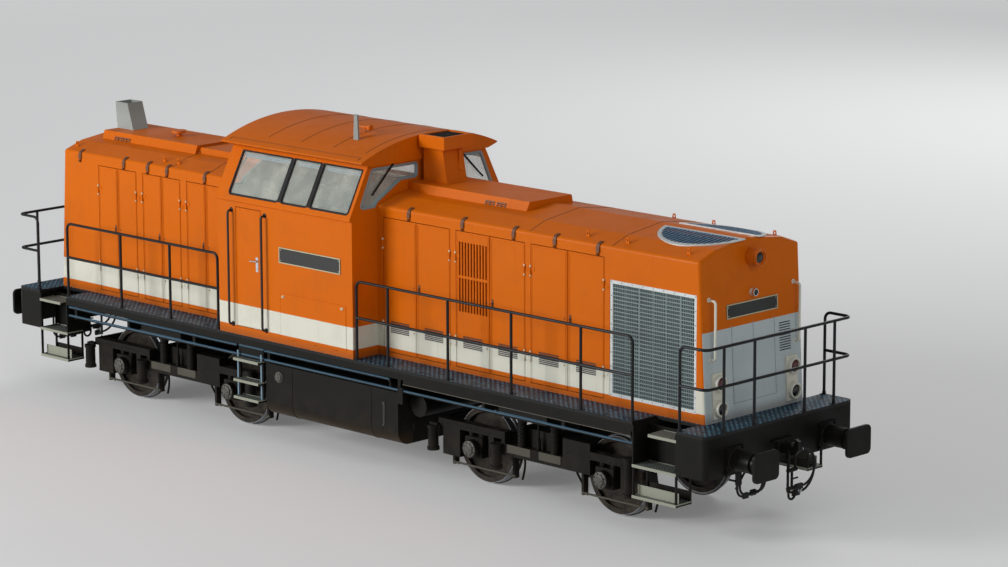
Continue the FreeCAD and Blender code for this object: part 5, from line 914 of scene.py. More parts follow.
def make_roof_ribs():
    """Welded seams over the cab roof and both hood roofs, laid on their skins."""
    steps = 40
    for node, (reach, places) in RIB_PLACES.items():
        skin = surface_of(node)
        mesh = new_mesh()
        for x in places:
            spots = []
            for index in range(steps + 1):
                y = -reach + 2 * reach * index / steps
                spots.append(skin.ray_cast(Vector((x, y, ABOVE_ALL)), Vector((0, 0, -1)))[0])
            for first, second in zip(spots, spots[1:]):
                if first and second and abs(first.z - second.z) < 0.12:
                    run = second - first
                    place = local((first + second) / 2, (1, 0, 0), (0, -run.z, run.y))
                    add_panel(mesh, place, 0.007, run.length / 2 + 0.001, (-0.002, 0.003))
        piece(f"{node}_seams", mesh, SEAM)


make_screen_slats()
make_fan_details()
make_hump_vents()
make_duct_mouth()
make_stay_brackets()
make_roof_ribs()

# --- End faces: plate, panel seams, lamps ---

PANEL_JOINTS = (-0.392, 0.008, 0.405)
PANEL_FOOT = 1.60 + RAIL


def make_face_seams():
    """Upright joints of the end faces' access panels, and the lap along their foot."""
    mesh = new_mesh()
    for end in ENDS:
        for y in PANEL_JOINTS:
            foot = on_face(end, y, PANEL_FOOT)
            add_block(mesh, foot, (-0.003, 0.003), (0, 0.98), (-0.001, 0.0025))
        place = on_face(end, 0.0, PANEL_FOOT)
        add_panel(mesh, place, 0.40, 0.003, (-0.001, 0.0025))
        for y in PANEL_JOINTS:
            for step in range(5):
                spot = moved(on_face(end, y, PANEL_FOOT), 0.024, 0.10 + 0.19 * step)
                add_turned(mesh, spot, [(0.006, 0), (0.006, 0.002), (0, 0.003)], 8)
    piece("end_face_seams", mesh, PALE_SEAM)


def lamp_reach(end, z, radius, depth):
    """How far along the body a lamp's rim lies: its seat is taken at its lower edge."""
    return FACE_FOOT[end] - FACE_LEAN[end] * (z - radius) + depth


LAMP_ACROSS = 0.692
RED_LAMP = 1.907 + RAIL
WHITE_LAMP = 1.592 + RAIL
SPOT_LAMP = 2.930 + RAIL
HEAD_LAMP = 3.371 + RAIL
HEAD_LAMP_REACH = {"front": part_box("roof_fittings")[1][0], "rear": 6.235}
BEZEL = [(0.078, -0.010), (0.078, 0.002), (0.083, 0.006), (0.094, 0.006), (0.1015, 0.0), (0.1015, -0.012)]
SPOT_RIM = [(0.038, -0.008), (0.038, 0.003), (0.046, 0.003), (0.0475, -0.004), (0.0475, -0.03)]


def add_lens(mesh, place, radius, sink, rise):
    """A domed lens with concentric ribs, sunk in its barrel."""
    profile = [(radius, -sink - 0.004), (radius, -sink)]
    rings = 5
    for index in range(1, rings + 1):
        share = 1 - index / rings
        between = share + 0.5 / rings
        profile.append((radius * between, -sink + rise * (1 - between ** 2) + 0.0015))
        profile.append((radius * share, -sink + rise * (1 - share ** 2)))
    profile[-1] = (0, -sink + rise)
    add_turned(mesh, place, profile, 32)


def make_lamps():
    """Lenses and bezels of the marker lamps, spot lamps and ribbed head lamps."""
    red, black, bezel, chrome, wings = new_meshes(5)
    for end in ENDS:
        for z, lens in ((RED_LAMP, red), (WHITE_LAMP, black)):
            reach = lamp_reach(end, z, 0.100, 0.075)
            for sign in SIDES:
                place = on_end(end, sign * LAMP_ACROSS, z, reach)
                add_lens(lens, place, 0.077, 0.020, 0.014)
                add_turned(bezel, place, BEZEL, 36)
                add_bolt_ring(wings, moved(place, 0, 0, 0.005), 0.0885, 3, 0.003, 0.5)
        place = on_end(end, 0.0, SPOT_LAMP, lamp_reach(end, SPOT_LAMP, 0.045, 0.070))
        add_lens(black, place, 0.038, 0.008, 0.006)
        add_turned(chrome, place, SPOT_RIM, 28)
        add_block(chrome, place, (-0.003, 0.003), (0.044, 0.056), (-0.03, 0.001))
        add_lens(black, on_end(end, 0.0, HEAD_LAMP, HEAD_LAMP_REACH[end]), 0.086, 0.030, 0.022)
    piece("marker_lenses_red", red, RED_LENS)
    piece("lamp_lenses_black", black, BLACK_LENS)
    piece("marker_bezels", bezel, PALE)
    piece("bezel_screws", wings, CHROME)
    piece("spot_lamp_rims", chrome, CHROME)


END_PLATE, END_PLATE_HALF = 2.741 + RAIL, (0.478, 0.089)
CAB_PLATE, CAB_PLATE_HALF = (-0.378, 2.631 + RAIL), (0.598, 0.107)


def make_plates():
    """Blank plates: one on each end face and one on each cab side."""
    for end in ENDS:
        blank_plate(f"end_plate_{end}", on_face(end, 0.0, END_PLATE), *END_PLATE_HALF)
    for sign, side in ((-1, "right"), (1, "left")):
        blank_plate(f"cab_plate_{side}", on_side(sign, *CAB_PLATE, CAB_HALF), *CAB_PLATE_HALF)


make_face_seams()
make_lamps()
make_plates()

# --- Cab: window rubbers, mullions, blinds, wipers, door and hatch fittings, gutters ---

CAB_MIDDLE = -0.88


def glass_panes():
    """Each pane of the cab's glass: its frame, its outline in that frame, and its limits."""
    mesh = bmesh.new()
    mesh.from_mesh(NODES["cab_glass"].data)
    bmesh.ops.remove_doubles(mesh, verts=mesh.verts, dist=1e-5)
    left = dict.fromkeys(mesh.faces)       # a dict keeps its order, so that every run gives the same panes
    panes = []
    while left:
        island, edge = [], [left.popitem()[0]]
        while edge:
            face = edge.pop()
            island.append(face)
            for side in face.edges:
                for other in side.link_faces:
                    if other in left:
                        del left[other]
                        edge.append(other)
        panes.append(pane_of(island))
    mesh.free()
    return panes


def pane_of(island):
    """The outward frame and outline of one pane."""
    centre = sum((face.calc_center_median() * face.calc_area() for face in island), Vector())
    centre /= sum(face.calc_area() for face in island)
    on_side_wall = abs(centre.y) > 1.0 and abs(centre.x) < 2.0
    away = Vector((0, centre.y, 0)) if on_side_wall else Vector((centre.x - CAB_MIDDLE, 0, 0))
    facing = [face for face in island if face.normal.dot(away.normalized()) > 0.6]
    widest = max(facing, key=lambda face: face.calc_area())
    outer = [face for face in facing if face.normal.dot(widest.normal) > 0.995]
    rim = [side for face in outer for side in face.edges
           if sum(1 for other in side.link_faces if other in outer) == 1]
    follow = {}
    for side in rim:
        for vertex in side.verts:
            follow.setdefault(vertex, []).append(side)
    start = rim[0].verts[0]
    outline, here, previous = [start.co.copy()], start, None
    while True:
        side = next(one for one in follow[here] if one is not previous)
        here, previous = side.other_vert(here), side
        if here is start:
            break
        outline.append(here.co.copy())
    upright = Vector((0, 0, 1))
    across = upright.cross(widest.normal)
    middle = sum(outline, Vector()) / len(outline)
    place = local(middle, across, widest.normal)
    inverse = place.inverted()
    flat = [inverse @ spot for spot in outline]
    return {"place": place, "outline": outline, "side": abs(widest.normal.y) > 0.5,
            "left": min(spot.x for spot in flat), "right": max(spot.x for spot in flat),
            "low": min(spot.y for spot in flat), "high": max(spot.y for spot in flat)}


PANES = glass_panes()
SIDE_PANES = [pane for pane in PANES if pane["side"]]
END_PANES = [pane for pane in PANES if not pane["side"]]


def make_window_rubbers():
    """Black rubber round the side panes, and a wider pale one round the end panes."""
    skin, rims = surface_of("cab_shell"), []
    for pane in SIDE_PANES:
        outward = pane["place"].to_3x3().col[2]
        sill = moved(pane["place"], 0, pane["low"] - 0.030, 0.2).translation
        depth = skin.ray_cast(sill, -outward)[3]
        rims.append([Vector(spot) + outward * (0.2 - depth - 0.006) for spot in pane["outline"]])
    tubes("side_window_rubbers", rims, 0.016, RUBBER, closed=True)
    tubes("end_window_rubbers", [pane["outline"] for pane in END_PANES], 0.025, FRAME_PALE, closed=True)


def make_mullions():
    """Rubber-covered bars between the side panes."""
    mesh, skin = new_mesh(), surface_of("cab_shell")
    for pane in SIDE_PANES:
        x_sign = 1 if pane["place"].to_3x3().col[0].x > 0 else -1
        for other in SIDE_PANES:
            if (other["place"].translation.y > 0) != (pane["place"].translation.y > 0):
                continue
            gap = other["place"].translation.x - pane["place"].translation.x
            if 0.3 < gap < 0.9:
                low_x = pane["right"] if x_sign > 0 else pane["left"]
                start = low_x - x_sign * 0.006
                stop = low_x + x_sign * 0.056
                middle = moved(pane["place"], (start + stop) / 2, 0, 0.2).translation
                outward = pane["place"].to_3x3().col[2]
                spot, _, _, depth = skin.ray_cast(middle, -outward)
                front = max(0.0075, 0.2 - depth + 0.004) if spot else 0.0075
                add_block(mesh, pane["place"], sorted((start, stop)), (pane["low"], pane["high"]),
                          (-0.020, front))
    piece("window_mullions", mesh, RUBBER, bevel=0.004)


def make_blinds():
    """Rolled sun blinds inside the tops of the side panes."""
    mesh = new_mesh()
    for pane in SIDE_PANES:
        place = moved(pane["place"], 0, pane["high"] - 0.030, -0.040)
        centre = place.translation
        along = place.to_3x3().col[0] * (pane["right"] - 0.02)
        add_bar(mesh, centre - along, centre + along, 0.016, 16)
        add_block(mesh, place, (pane["left"] + 0.02, pane["right"] - 0.02), (-0.045, 0.0), (-0.003, 0.001))
    piece("window_blinds", mesh, PIPE_BLUE)


def make_wipers():
    """A hanging wiper with arm, blade and pivot on each end window."""
    mesh, blades = new_meshes(2)
    for pane in END_PANES:
        place = pane["place"]
        centre = place.translation
        across, _, outward = place.to_3x3().col
        outer = 1 if centre.y * across.y > 0 else -1
        pivot = place @ Vector((outer * -0.04, pane["high"] + 0.025, 0.0))
        tip = place @ Vector((outer * 0.235, -0.02, 0.030))
        add_turned(mesh, local(pivot, across, outward),
                   [(0.020, -0.005), (0.020, 0.020), (0.014, 0.030), (0, 0.032)], 18)
        raised = pivot + outward * 0.026
        add_bar(mesh, raised, tip, 0.010, 8)
        add_bar(mesh, raised + across * outer * 0.022, tip + across * outer * 0.010, 0.008, 8)
        run = (tip - raised).normalized()
        add_bar(blades, tip - run * 0.17, tip + run * 0.16, 0.013, 8)
        back = outward * 0.015
        add_bar(blades, tip - run * 0.17 - back, tip + run * 0.16 - back, 0.004, 6)
    piece("wiper_arms", mesh, RAIL_BLACK)
    piece("wiper_blades", blades, RUBBER)


GUTTER_X, GUTTER_HEIGHT = -0.9, 4.062 + RAIL


def make_gutters():
    """Rain strips along both sides of the cab roof, dark orange, partly as a painted shadow line under the
    roof's edge.
    """
    skin = surface_of("cab_roof")
    mesh = new_mesh()
    low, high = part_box("cab_roof")
    for sign in SIDES:
        place = seated(skin, (GUTTER_X, sign * 2.0, GUTTER_HEIGHT), (0, -sign, 0), (-sign, 0, 0))
        half = (high[0] - low[0]) / 2 - 0.12
        middle = moved(place, -sign * ((low[0] + high[0]) / 2 - GUTTER_X))
        add_panel(mesh, middle, half, 0.005, (-0.004, 0.006))
        for step in (-1, 1):
            spout = step * half
            add_block(mesh, middle, (spout - 0.006, spout + 0.006), (-0.060, 0.005), (-0.004, 0.004))
    piece("roof_gutters", mesh, SEAM, bevel=0.001)


LEVER = (-1.420, 2.450 + RAIL)


def dress_cab_door(side, sign):
    """Lever, lock and beading of a cab door."""
    name = f"cab_door_{side}"
    low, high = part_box(name)
    mesh = new_mesh()
    middle = on_side(sign, (low[0] + high[0]) / 2, 0.0, CAB_HALF)
    add_beading(mesh, middle, low, high, 0.020, 0.003)
    piece(f"{name}_beading", mesh, PAINT, name, 0.001)
    mesh = new_mesh()
    spot = on_side(sign, *LEVER, CAB_HALF)
    add_block(mesh, spot, (-0.024, 0.024), (-0.115, 0.085), (-0.001, 0.005))
    add_turned(mesh, moved(spot, 0, 0.030, 0.004), head(0.018, 0.012, 0.012, 0.034), 20)
    reach = moved(spot, 0, 0.030, 0.032).translation
    toward = Vector((-0.105, 0.0, -0.004))
    add_bar(mesh, reach, reach + toward, 0.0095, 14)
    add_turned(mesh, local(reach + toward, (0, 0, 1), toward),
               [(0.0095, 0), (0.0125, 0.006), (0.0095, 0.014), (0, 0.016)], 14)
    add_turned(mesh, moved(spot, 0, -0.065, 0.004), head(0.013, 0.006, 0.007, 0.008), 16)
    piece(f"{name}_lever", mesh, CHROME, name, 0.001)


HATCH, HATCH_HALF = (-0.330, 1.810 + RAIL), (0.645, 0.305)
CAB_HANDLES, CAB_HANDLE_FEET = (-1.925, -1.255), (1.583, 3.153)
FACE_HANDLE, FACE_HANDLE_FEET = 0.79, (2.229, 2.969)
HATCH_KNOB = [(0.021, 0), (0.021, 0.004), (0.013, 0.006), (0.013, 0.013), (0.017, 0.018),
              (0.013, 0.024), (0, 0.025)]


def make_cab_side_fittings():
    """The raised hatch with its two knobs, its hinges, and the handles' foot plates."""
    panels, knobs, feet = new_meshes(3)
    for sign in SIDES:
        place = on_side(sign, *HATCH, CAB_HALF)
        half_across, half_up = HATCH_HALF
        add_panel(panels, place, half_across, half_up, (-0.002, 0.004))
        add_border(panels, place, (-half_across, half_across), (-half_up, half_up), 0.014, (0.003, 0.007))
        for across in (-0.575, 0.575):
            spot = moved(place, across, half_up - 0.045, 0.003)
            add_turned(knobs, spot, HATCH_KNOB, 20)
        for across in (-0.42, 0.0, 0.42):
            spot = moved(place, across, -half_up - 0.006, 0.006)
            centre = spot.translation
            add_bar(panels, centre - Vector((0.04, 0, 0)), centre + Vector((0.04, 0, 0)), 0.008, 12)
        for x in CAB_HANDLES:
            for z in CAB_HANDLE_FEET:
                spot = on_side(sign, x, z, CAB_HALF)
                add_turned(feet, spot, [(0.034, -0.001), (0.034, 0.005), (0.028, 0.008), (0.018, 0.008)], 20)
                for upward in (-0.025, 0.025):
                    add_bolt(feet, moved(spot, 0, upward, 0.005), 0.0035)
    piece("cab_hatches", panels, PAINT, bevel=0.0015)
    piece("hatch_knobs", knobs, KNUCKLE)
    piece("handle_feet", feet, RAIL_BLACK)


def make_face_handle_feet():
    """Round foot plates of the white handles on the end faces."""
    mesh = new_mesh()
    for end in ENDS:
        for sign in SIDES:
            for z in FACE_HANDLE_FEET:
                spot = on_face(end, sign * FACE_HANDLE, z)
                add_turned(mesh, spot, [(0.030, -0.001), (0.030, 0.004), (0.024, 0.007), (0.016, 0.007)], 20)
    piece("face_handle_feet", mesh, PALE)


make_window_rubbers()
make_mullions()
make_blinds()
make_wipers()
make_gutters()
dress_cab_door("left", 1)
dress_cab_door("right", -1)
make_cab_side_fittings()
make_face_handle_feet()

# --- Inside the cab: seats, desk, instruments ---

SEAT_X = -0.56
SEAT_Y = 0.70
SEAT_HALF = 0.24
CUSHION_LOW = 2.510 + RAIL
CUSHION_TOP = 2.600 + RAIL
BACK_TOP = 3.200 + RAIL
ARM_HEIGHT = CUSHION_TOP + 0.20
DESK_TOP = 3.120 + RAIL
DESK_ACROSS = 0.68
LOCKER_ACROSS = 0.80
LEDGE = (1.285, 3.318)              # across the cab and up


def soft_block(name, low, high, crown):
    """A padded cushion: a rounded box whose broad faces swell in the middle."""
    mesh = new_mesh()
    middle = (Vector(low) + Vector(high)) / 2
    size = Vector(high) - Vector(low)
    bmesh.ops.create_cube(mesh, size=1.0)
    bmesh.ops.subdivide_edges(mesh, edges=mesh.edges, cuts=5, use_grid_fill=True)
    thin = min(range(3), key=lambda axis: size[axis])
    broad = [axis for axis in range(3) if axis != thin]
    for vertex in mesh.verts:
        swell = math.prod(math.cos(math.pi * vertex.co[axis] * 0.92) for axis in broad)
        tuck = 1 + crown * swell
        spot = vertex.co.copy()
        spot[thin] *= tuck
        vertex.co = Vector([middle[axis] + spot[axis] * size[axis] for axis in range(3)])
    made = piece(name, mesh, CLOTH, smooth=180.0)
    modifier = made.modifiers.new("soft", "SUBSURF")
    modifier.levels = 2
    modifier.render_levels = 2
    return made


def make_seats():
    """Two drivers' seats: cushions over the frame's seat blocks, and arm rests."""
    for sign, side in ((-1, "right"), (1, "left")):
        y = sign * SEAT_Y
        grow = 0.022
        rear, low_y, high_y = SEAT_X - SEAT_HALF - grow, y - SEAT_HALF - grow, y + SEAT_HALF + grow
        soft_block(f"seat_cushion_{side}", (rear, low_y, CUSHION_LOW - 0.012),
                   (SEAT_X + SEAT_HALF + grow + 0.02, high_y, CUSHION_TOP + grow), 0.16)
        soft_block(f"seat_back_{side}", (rear, low_y, CUSHION_TOP + 0.02),
                   (SEAT_X - SEAT_HALF + 0.09 + grow, high_y, BACK_TOP + grow), 0.18)
        arms = new_mesh()
        for step in (-1, 1):
            post_y = y + step * (SEAT_HALF + 0.045)
            foot = (SEAT_X - 0.20, post_y, CUSHION_LOW)
            add_bar(arms, foot, (SEAT_X - 0.20, post_y, ARM_HEIGHT), 0.014)
            add_panel(arms, level(SEAT_X - 0.05, post_y, ARM_HEIGHT), 0.20, 0.028, (0, 0.035))
        piece(f"seat_arms_{side}", arms, RUBBER, bevel=0.008)


def make_desk():
    """A console on the desk: raked instrument board, dials, screens and levers."""
    board, dials, faces, screens, levers = new_meshes(5)
    for sign in SIDES:
        y = sign * DESK_ACROSS
        raked = local((0.235, y, DESK_TOP + 0.105), (0, 1, 0), (-0.78, 0, 0.62))
        add_panel(board, raked, 0.36, 0.13, (-0.03, 0.0))
        add_panel(board, level(0.27, y, DESK_TOP), 0.07, 0.36, (0, 0.10))
        for step in range(4):
            spot = moved(raked, -0.27 + step * 0.105, 0.065)
            add_turned(dials, spot, [(0.046, 0), (0.046, 0.012), (0.039, 0.014), (0.039, 0.007)], 28)
            add_turned(faces, moved(spot, 0, 0, 0.004), [(0.039, 0), (0.039, 0.003), (0, 0.003)], 28)
            add_block(dials, moved(spot, 0, 0, 0.007) @ Matrix.Rotation(0.7 * step - 0.9, 4, "Z"),
                      (-0.0018, 0.0018), (-0.008, 0.032), (0, 0.002))
            for tick in range(9):
                turn = Matrix.Rotation(math.radians(-120 + tick * 30), 4, "Z")
                add_block(dials, moved(spot, 0, 0, 0.007) @ turn, (-0.0012, 0.0012), (0.029, 0.036),
                          (0, 0.0008))
        add_panel(screens, moved(raked, 0.235, 0.045), 0.095, 0.066, (0, 0.008))
        for step in range(8):
            add_turned(levers, moved(raked, -0.30 + step * 0.055, -0.06),
                       head(0.011, 0.010, 0.008, 0.014), 14)
        for offset in (-0.20, 0.24):
            foot = Vector((0.10, y + offset, DESK_TOP))
            tip = foot + Vector((-0.05, 0, 0.16))
            add_bar(levers, foot, tip, 0.009)
            add_turned(levers, local(tip - Vector((0, 0, 0.012)), (1, 0, 0), (-0.3, 0, 1)),
                       [(0.010, 0), (0.023, 0.010), (0.026, 0.024), (0.018, 0.040), (0, 0.046)], 20)
    piece("desk_boards", board, PLASTIC, bevel=0.010)
    piece("desk_dials", dials, RUBBER)
    piece("dial_faces", faces, STEP_WHITE)
    piece("desk_screens", screens, SCREEN, bevel=0.003)
    piece("desk_levers", levers, RUBBER)


def make_cab_trim():
    """Window ledges, and the rear lockers with their doors and knobs."""
    mesh, knobs = new_meshes(2)
    for sign in SIDES:
        add_panel(mesh, level(CAB_MIDDLE, sign * LEDGE[0], LEDGE[1]), 1.18, 0.045, (0, 0.030))
        add_panel(mesh, level(-2.02, sign * LOCKER_ACROSS, 2.20), 0.12, 0.43, (0, 1.02))
        for step in (-0.22, 0.22):
            add_block(mesh, local((-1.90, sign * LOCKER_ACROSS + step, 2.70), (0, 1, 0), (1, 0, 0)),
                      (-0.20, 0.20), (-0.46, 0.46), (-0.001, 0.012))
            add_turned(knobs, local((-1.888, sign * LOCKER_ACROSS + step * 0.25, 2.75), (0, 1, 0), (1, 0, 0)),
                       [(0.014, 0), (0.014, 0.012), (0.019, 0.018), (0.012, 0.026), (0, 0.027)], 16)
    piece("cab_trim", mesh, PLASTIC, bevel=0.006)
    piece("locker_knobs", knobs, CHROME)


make_seats()
make_desk()
make_cab_trim()

# --- Steps, railing feet, tank and fascia skirts ---

STEP_TOPS = {"low": 0.490 + RAIL, "middle": 0.880 + RAIL, "top": 1.300 + RAIL}
STEP_DEPTH = 0.290
KICK_INSET = 0.085
STEP_TOP_LENGTH = 0.460
BEAM_INNER = 6.12
RECESS = {"front": 5.400, "rear": 5.510}
LADDER = (-1.87, -1.37)
LADDER_TOPS = (0.570 + RAIL, 0.810 + RAIL, 1.100 + RAIL)
LADDER_REACH = (1.285, 1.450)
LADDER_RAIL_FACE = 1.378
TREAD_THICK = 0.032


def add_tread(pads, edges, x, y, top, sign):
    """A ribbed pad on a tread and a pale lip round its free edges."""
    middle = level((x[0] + x[1]) / 2, 0.0, top)
    half = (x[1] - x[0]) / 2
    across = sorted((sign * y[0], sign * y[1]))
    inside = (-half + 0.004, half - 0.004)
    add_block(pads, middle, inside, (across[0] + 0.003, across[1] - 0.003), (-0.001, 0.004))
    outer = sorted((sign * (y[1] - 0.002), sign * (y[1] + 0.005)))
    add_block(edges, middle, (-half, half), outer, (-0.031, 0.006))
    inner = sorted((sign * (y[0] - 0.002), sign * (y[0] + 0.006)))
    add_block(edges, middle, inside, inner, (-0.028, 0.009))
    for step in (-1, 1):
        side = sorted((step * (half - 0.008), step * (half + 0.001)))
        add_block(edges, middle, side, (across[0] + 0.006, across[1] - 0.006), (-0.010, 0.006))


def make_step_plates():
    """Ribbed treads and kick plates of the corner steps and the cab ladders."""
    pads, edges, kicks = new_meshes(3)
    for end, along in ENDS.items():
        for sign in SIDES:
            for name, top in STEP_TOPS.items():
                start = BEAM_INNER - STEP_TOP_LENGTH if name == "top" else RECESS[end]
                x = sorted((along * start, along * BEAM_INNER))
                add_tread(pads, edges, x, (DECK_HALF - STEP_DEPTH, DECK_HALF), top, sign)
            x = sorted((along * RECESS[end], along * BEAM_INNER))
            place = on_side(sign, (x[0] + x[1]) / 2, STEP_TOPS["low"], DECK_HALF - KICK_INSET)
            half = (x[1] - x[0]) / 2 - 0.025
            add_block(kicks, place, (-half, half), (0.003, 0.130), (-0.003, 0.003))
            add_border(kicks, place, (-half, half), (0.003, 0.130), 0.008, (0.002, 0.005))
    for sign in SIDES:
        for top in LADDER_TOPS:
            add_tread(pads, edges, LADDER, LADDER_REACH, top, sign)
    piece("tread_pads", pads, TREAD)
    piece("tread_edges", edges, STEP_WHITE, bevel=0.001)
    piece("kick_plates", kicks, STEP_WHITE, bevel=0.001)


def make_step_backs():
    """Dark plates behind the corner steps, from the middle tread up to the deck."""
    mesh = new_mesh()
    for end, along in ENDS.items():
        x = sorted((along * (RECESS[end] + 0.008), along * (BEAM_INNER - 0.002)))
        for sign in SIDES:
            place = on_side(sign, (x[0] + x[1]) / 2, STEP_TOPS["middle"], DECK_HALF - STEP_DEPTH)
            half = (x[1] - x[0]) / 2
            add_block(mesh, place, (-half, half), (0.012, 0.47), (-0.008, -0.003))
            add_border(mesh, place, (-half, half), (0.012, 0.47), 0.020, (-0.008, 0.001))
    piece("step_backs", mesh, FRAME_BLACK)


def make_ladder_trim():
    """Pale blue strips along the edges of the cab ladders' uprights, painted as highlights."""
    mesh = new_mesh()
    for sign in SIDES:
        for x in (LADDER[0] + 0.015, LADDER[1] - 0.015):
            place = on_side(sign, x, 0.0, LADDER_RAIL_FACE)
            tops = (LADDER_TOPS[1] - TREAD_THICK, LADDER_TOPS[2] - TREAD_THICK, LADDER_TOPS[2] + 0.10)
            for low, high in zip(LADDER_TOPS, tops):
                add_block(mesh, place, (-0.013, 0.013), (low + 0.008, high), (-0.001, 0.004))
    piece("ladder_edges", mesh, PIPE_BLUE, bevel=0.001)


def feet_of(node):
    """Where a node's posts stand: the middles of its lowest patches."""
    mesh = NODES[node].data
    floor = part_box(node)[0][2]
    patches = []
    for vertex in mesh.vertices:
        if vertex.co.z < floor + 0.002:
            near = next((patch for patch in patches if (patch[0] - vertex.co).length < 0.1), None)
            if near is None:
                patches.append([vertex.co.copy()])
            else:
                near.append(vertex.co.copy())
    middles = []
    for patch in patches:
        low = [min(spot[axis] for spot in patch) for axis in range(3)]
        high = [max(spot[axis] for spot in patch) for axis in range(3)]
        middles.append(Vector([(a + b) / 2 for a, b in zip(low, high)]))
    return middles


POST_SOCKET = [(0.029, -0.001), (0.029, 0.004), (0.0245, 0.008), (0.0245, 0.034), (0.021, 0.038),
               (0.0185, 0.038)]


def make_railing_feet():
    """Socket collars and flange bolts where the railing posts stand on the deck."""
    mesh = new_mesh()
    for node in ("railing_left", "railing_right", "railing_front", "railing_rear"):
        for foot in feet_of(node):
            place = level(foot.x, foot.y, DECK_TOP)
            add_turned(mesh, place, POST_SOCKET, 18)
            inward = -1 if foot.y > 0 else 1
            add_block(mesh, place, (-0.034, 0.034), sorted((0.0, inward * 0.052)), (-0.001, 0.005))
            for step in (-0.022, 0.022):
                add_bolt(mesh, moved(place, step, inward * 0.040, 0.005), 0.0038)
    piece("railing_feet", mesh, RAIL_BLACK)


BAND_PLACES = (-0.815, 0.721)
FILLER, GAUGE = (-1.06, 0.965), (0.98, 0.80)     # along the body and up
FILLER_CAP = [(0.075, -0.001), (0.075, 0.008), (0.058, 0.010), (0.058, 0.026), (0.050, 0.032), (0, 0.032)]


def make_tank_fittings():
    """Bands, filler caps and level gauges of the fuel tank."""
    low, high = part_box("fuel_tank")
    skin = surface_of("fuel_tank")
    bands, caps, gauges = new_meshes(3)
    for sign in SIDES:
        for x in BAND_PLACES:
            spots = []
            for index in range(25):
                angle = math.radians(-88 + 91 * index / 24)
                aim = Vector((0, -sign * math.cos(angle), -math.sin(angle)))
                spot, normal, _, _ = skin.ray_cast(Vector((x, sign * 1.05, low[2] + 0.30)) - aim * 1.2, aim)
                if spot:
                    spots.append((spot, normal))
            spots.append((Vector((x, sign * high[1], high[2] - 0.02)), Vector((0, sign, 0))))
            add_strap(bands, spots, (1, 0, 0), 0.020, (-0.003, 0.004), 0.004)
        place = on_side(sign, *FILLER, high[1])
        add_turned(caps, place, FILLER_CAP, 30)
        add_panel(caps, place, 0.012, 0.045, (0.030, 0.036))
        add_bolt_ring(caps, moved(place, 0, 0, 0.007), 0.067, 6, 0.0028)
        place = on_side(sign, *GAUGE, high[1])
        add_panel(gauges, place, 0.016, 0.16, (-0.001, 0.006))
        foot, top = (moved(place, 0, upward, 0.012).translation for upward in (-0.14, 0.14))
        add_bar(gauges, foot, top, 0.007, 12)
        for upward in (-0.145, 0.145):
            add_turned(gauges, moved(place, 0, upward, 0.005),
                       head(0.013, 0.014, 0.009, 0.017), 14)
    piece("tank_bands", bands, FRAME_BLACK)
    piece("tank_caps", caps, FITTING)
    piece("tank_gauges", gauges, FITTING)


SKIRT = (1.38, 5.38)
SKIRT_DROP = 0.056


def make_fascia_lip():
    """The skirt below the deck's side channels ahead of the tank, with its rolled lip in paler brown as a
    painted highlight.
    """
    skirts, mesh = new_meshes(2)
    for sign in SIDES:
        place = on_side(sign, (SKIRT[0] + SKIRT[1]) / 2, 1.290 + RAIL, DECK_HALF)
        half = (SKIRT[1] - SKIRT[0]) / 2
        add_block(skirts, place, (-half, half), (-SKIRT_DROP, 0.010), (-0.006, 0.0015))
        add_block(mesh, place, (-half, half), (-SKIRT_DROP - 0.004, -SKIRT_DROP + 0.005), (-0.030, 0.004))
    piece("fascia_skirts", skirts, FRAME_BLACK)
    piece("fascia_lips", mesh, LIP_HIGHLIGHT, bevel=0.001)


make_step_plates()
make_step_backs()
make_ladder_trim()
make_railing_feet()
make_tank_fittings()
make_fascia_lip()

# --- Bogies: coil springs, axle box bolts, rivets, sand pipes ---

SPRING_STEPS = (-0.35, 0.23)       # bolster springs from the bogie's centre
SPRING_ACROSS = 0.995
SPRING_LOW = 0.650 + RAIL
SPRING_HIGH = 1.100 + RAIL
SPRING_SEAT, SPRING_RADIUS, SPRING_TURNS, SPRING_WIRE = 0.034, 0.0575, 7.5, 0.0105
FRAME_OUTER = 1.06
BOX_FACE = 1.160
HALF_WHEELBASE = 1.15
AXLE_CAP = [(0.070, -0.001), (0.070, 0.002), (0.062, 0.006), (0.030, 0.006), (0.026, 0.010), (0, 0.010)]
# rows of rivets: start from the bogie's centre, pitch, numbers in the row, height and head
RIVET_ROWS = ((-1.72, 0.085, range(12), 0.775, RIVET),
              (0.50, 0.092, (*range(5), *range(8, 14)), 0.752, RIVET),
              (-0.56, 0.104, range(10), 0.562, SMALL_RIVET))


def spring_route(x, y):
    """Points round a coil spring, close-wound at both ends."""
    low, high = SPRING_LOW + SPRING_SEAT, SPRING_HIGH - SPRING_SEAT
    steps = int(SPRING_TURNS * 20)
    route = []
    for index in range(steps + 1):
        share = index / steps
        rise = share - 0.035 * math.sin(2 * math.pi * share)
        angle = 2 * math.pi * SPRING_TURNS * share
        route.append((x + SPRING_RADIUS * math.cos(angle), y + SPRING_RADIUS * math.sin(angle),
                      low + (high - low) * rise))
    return route


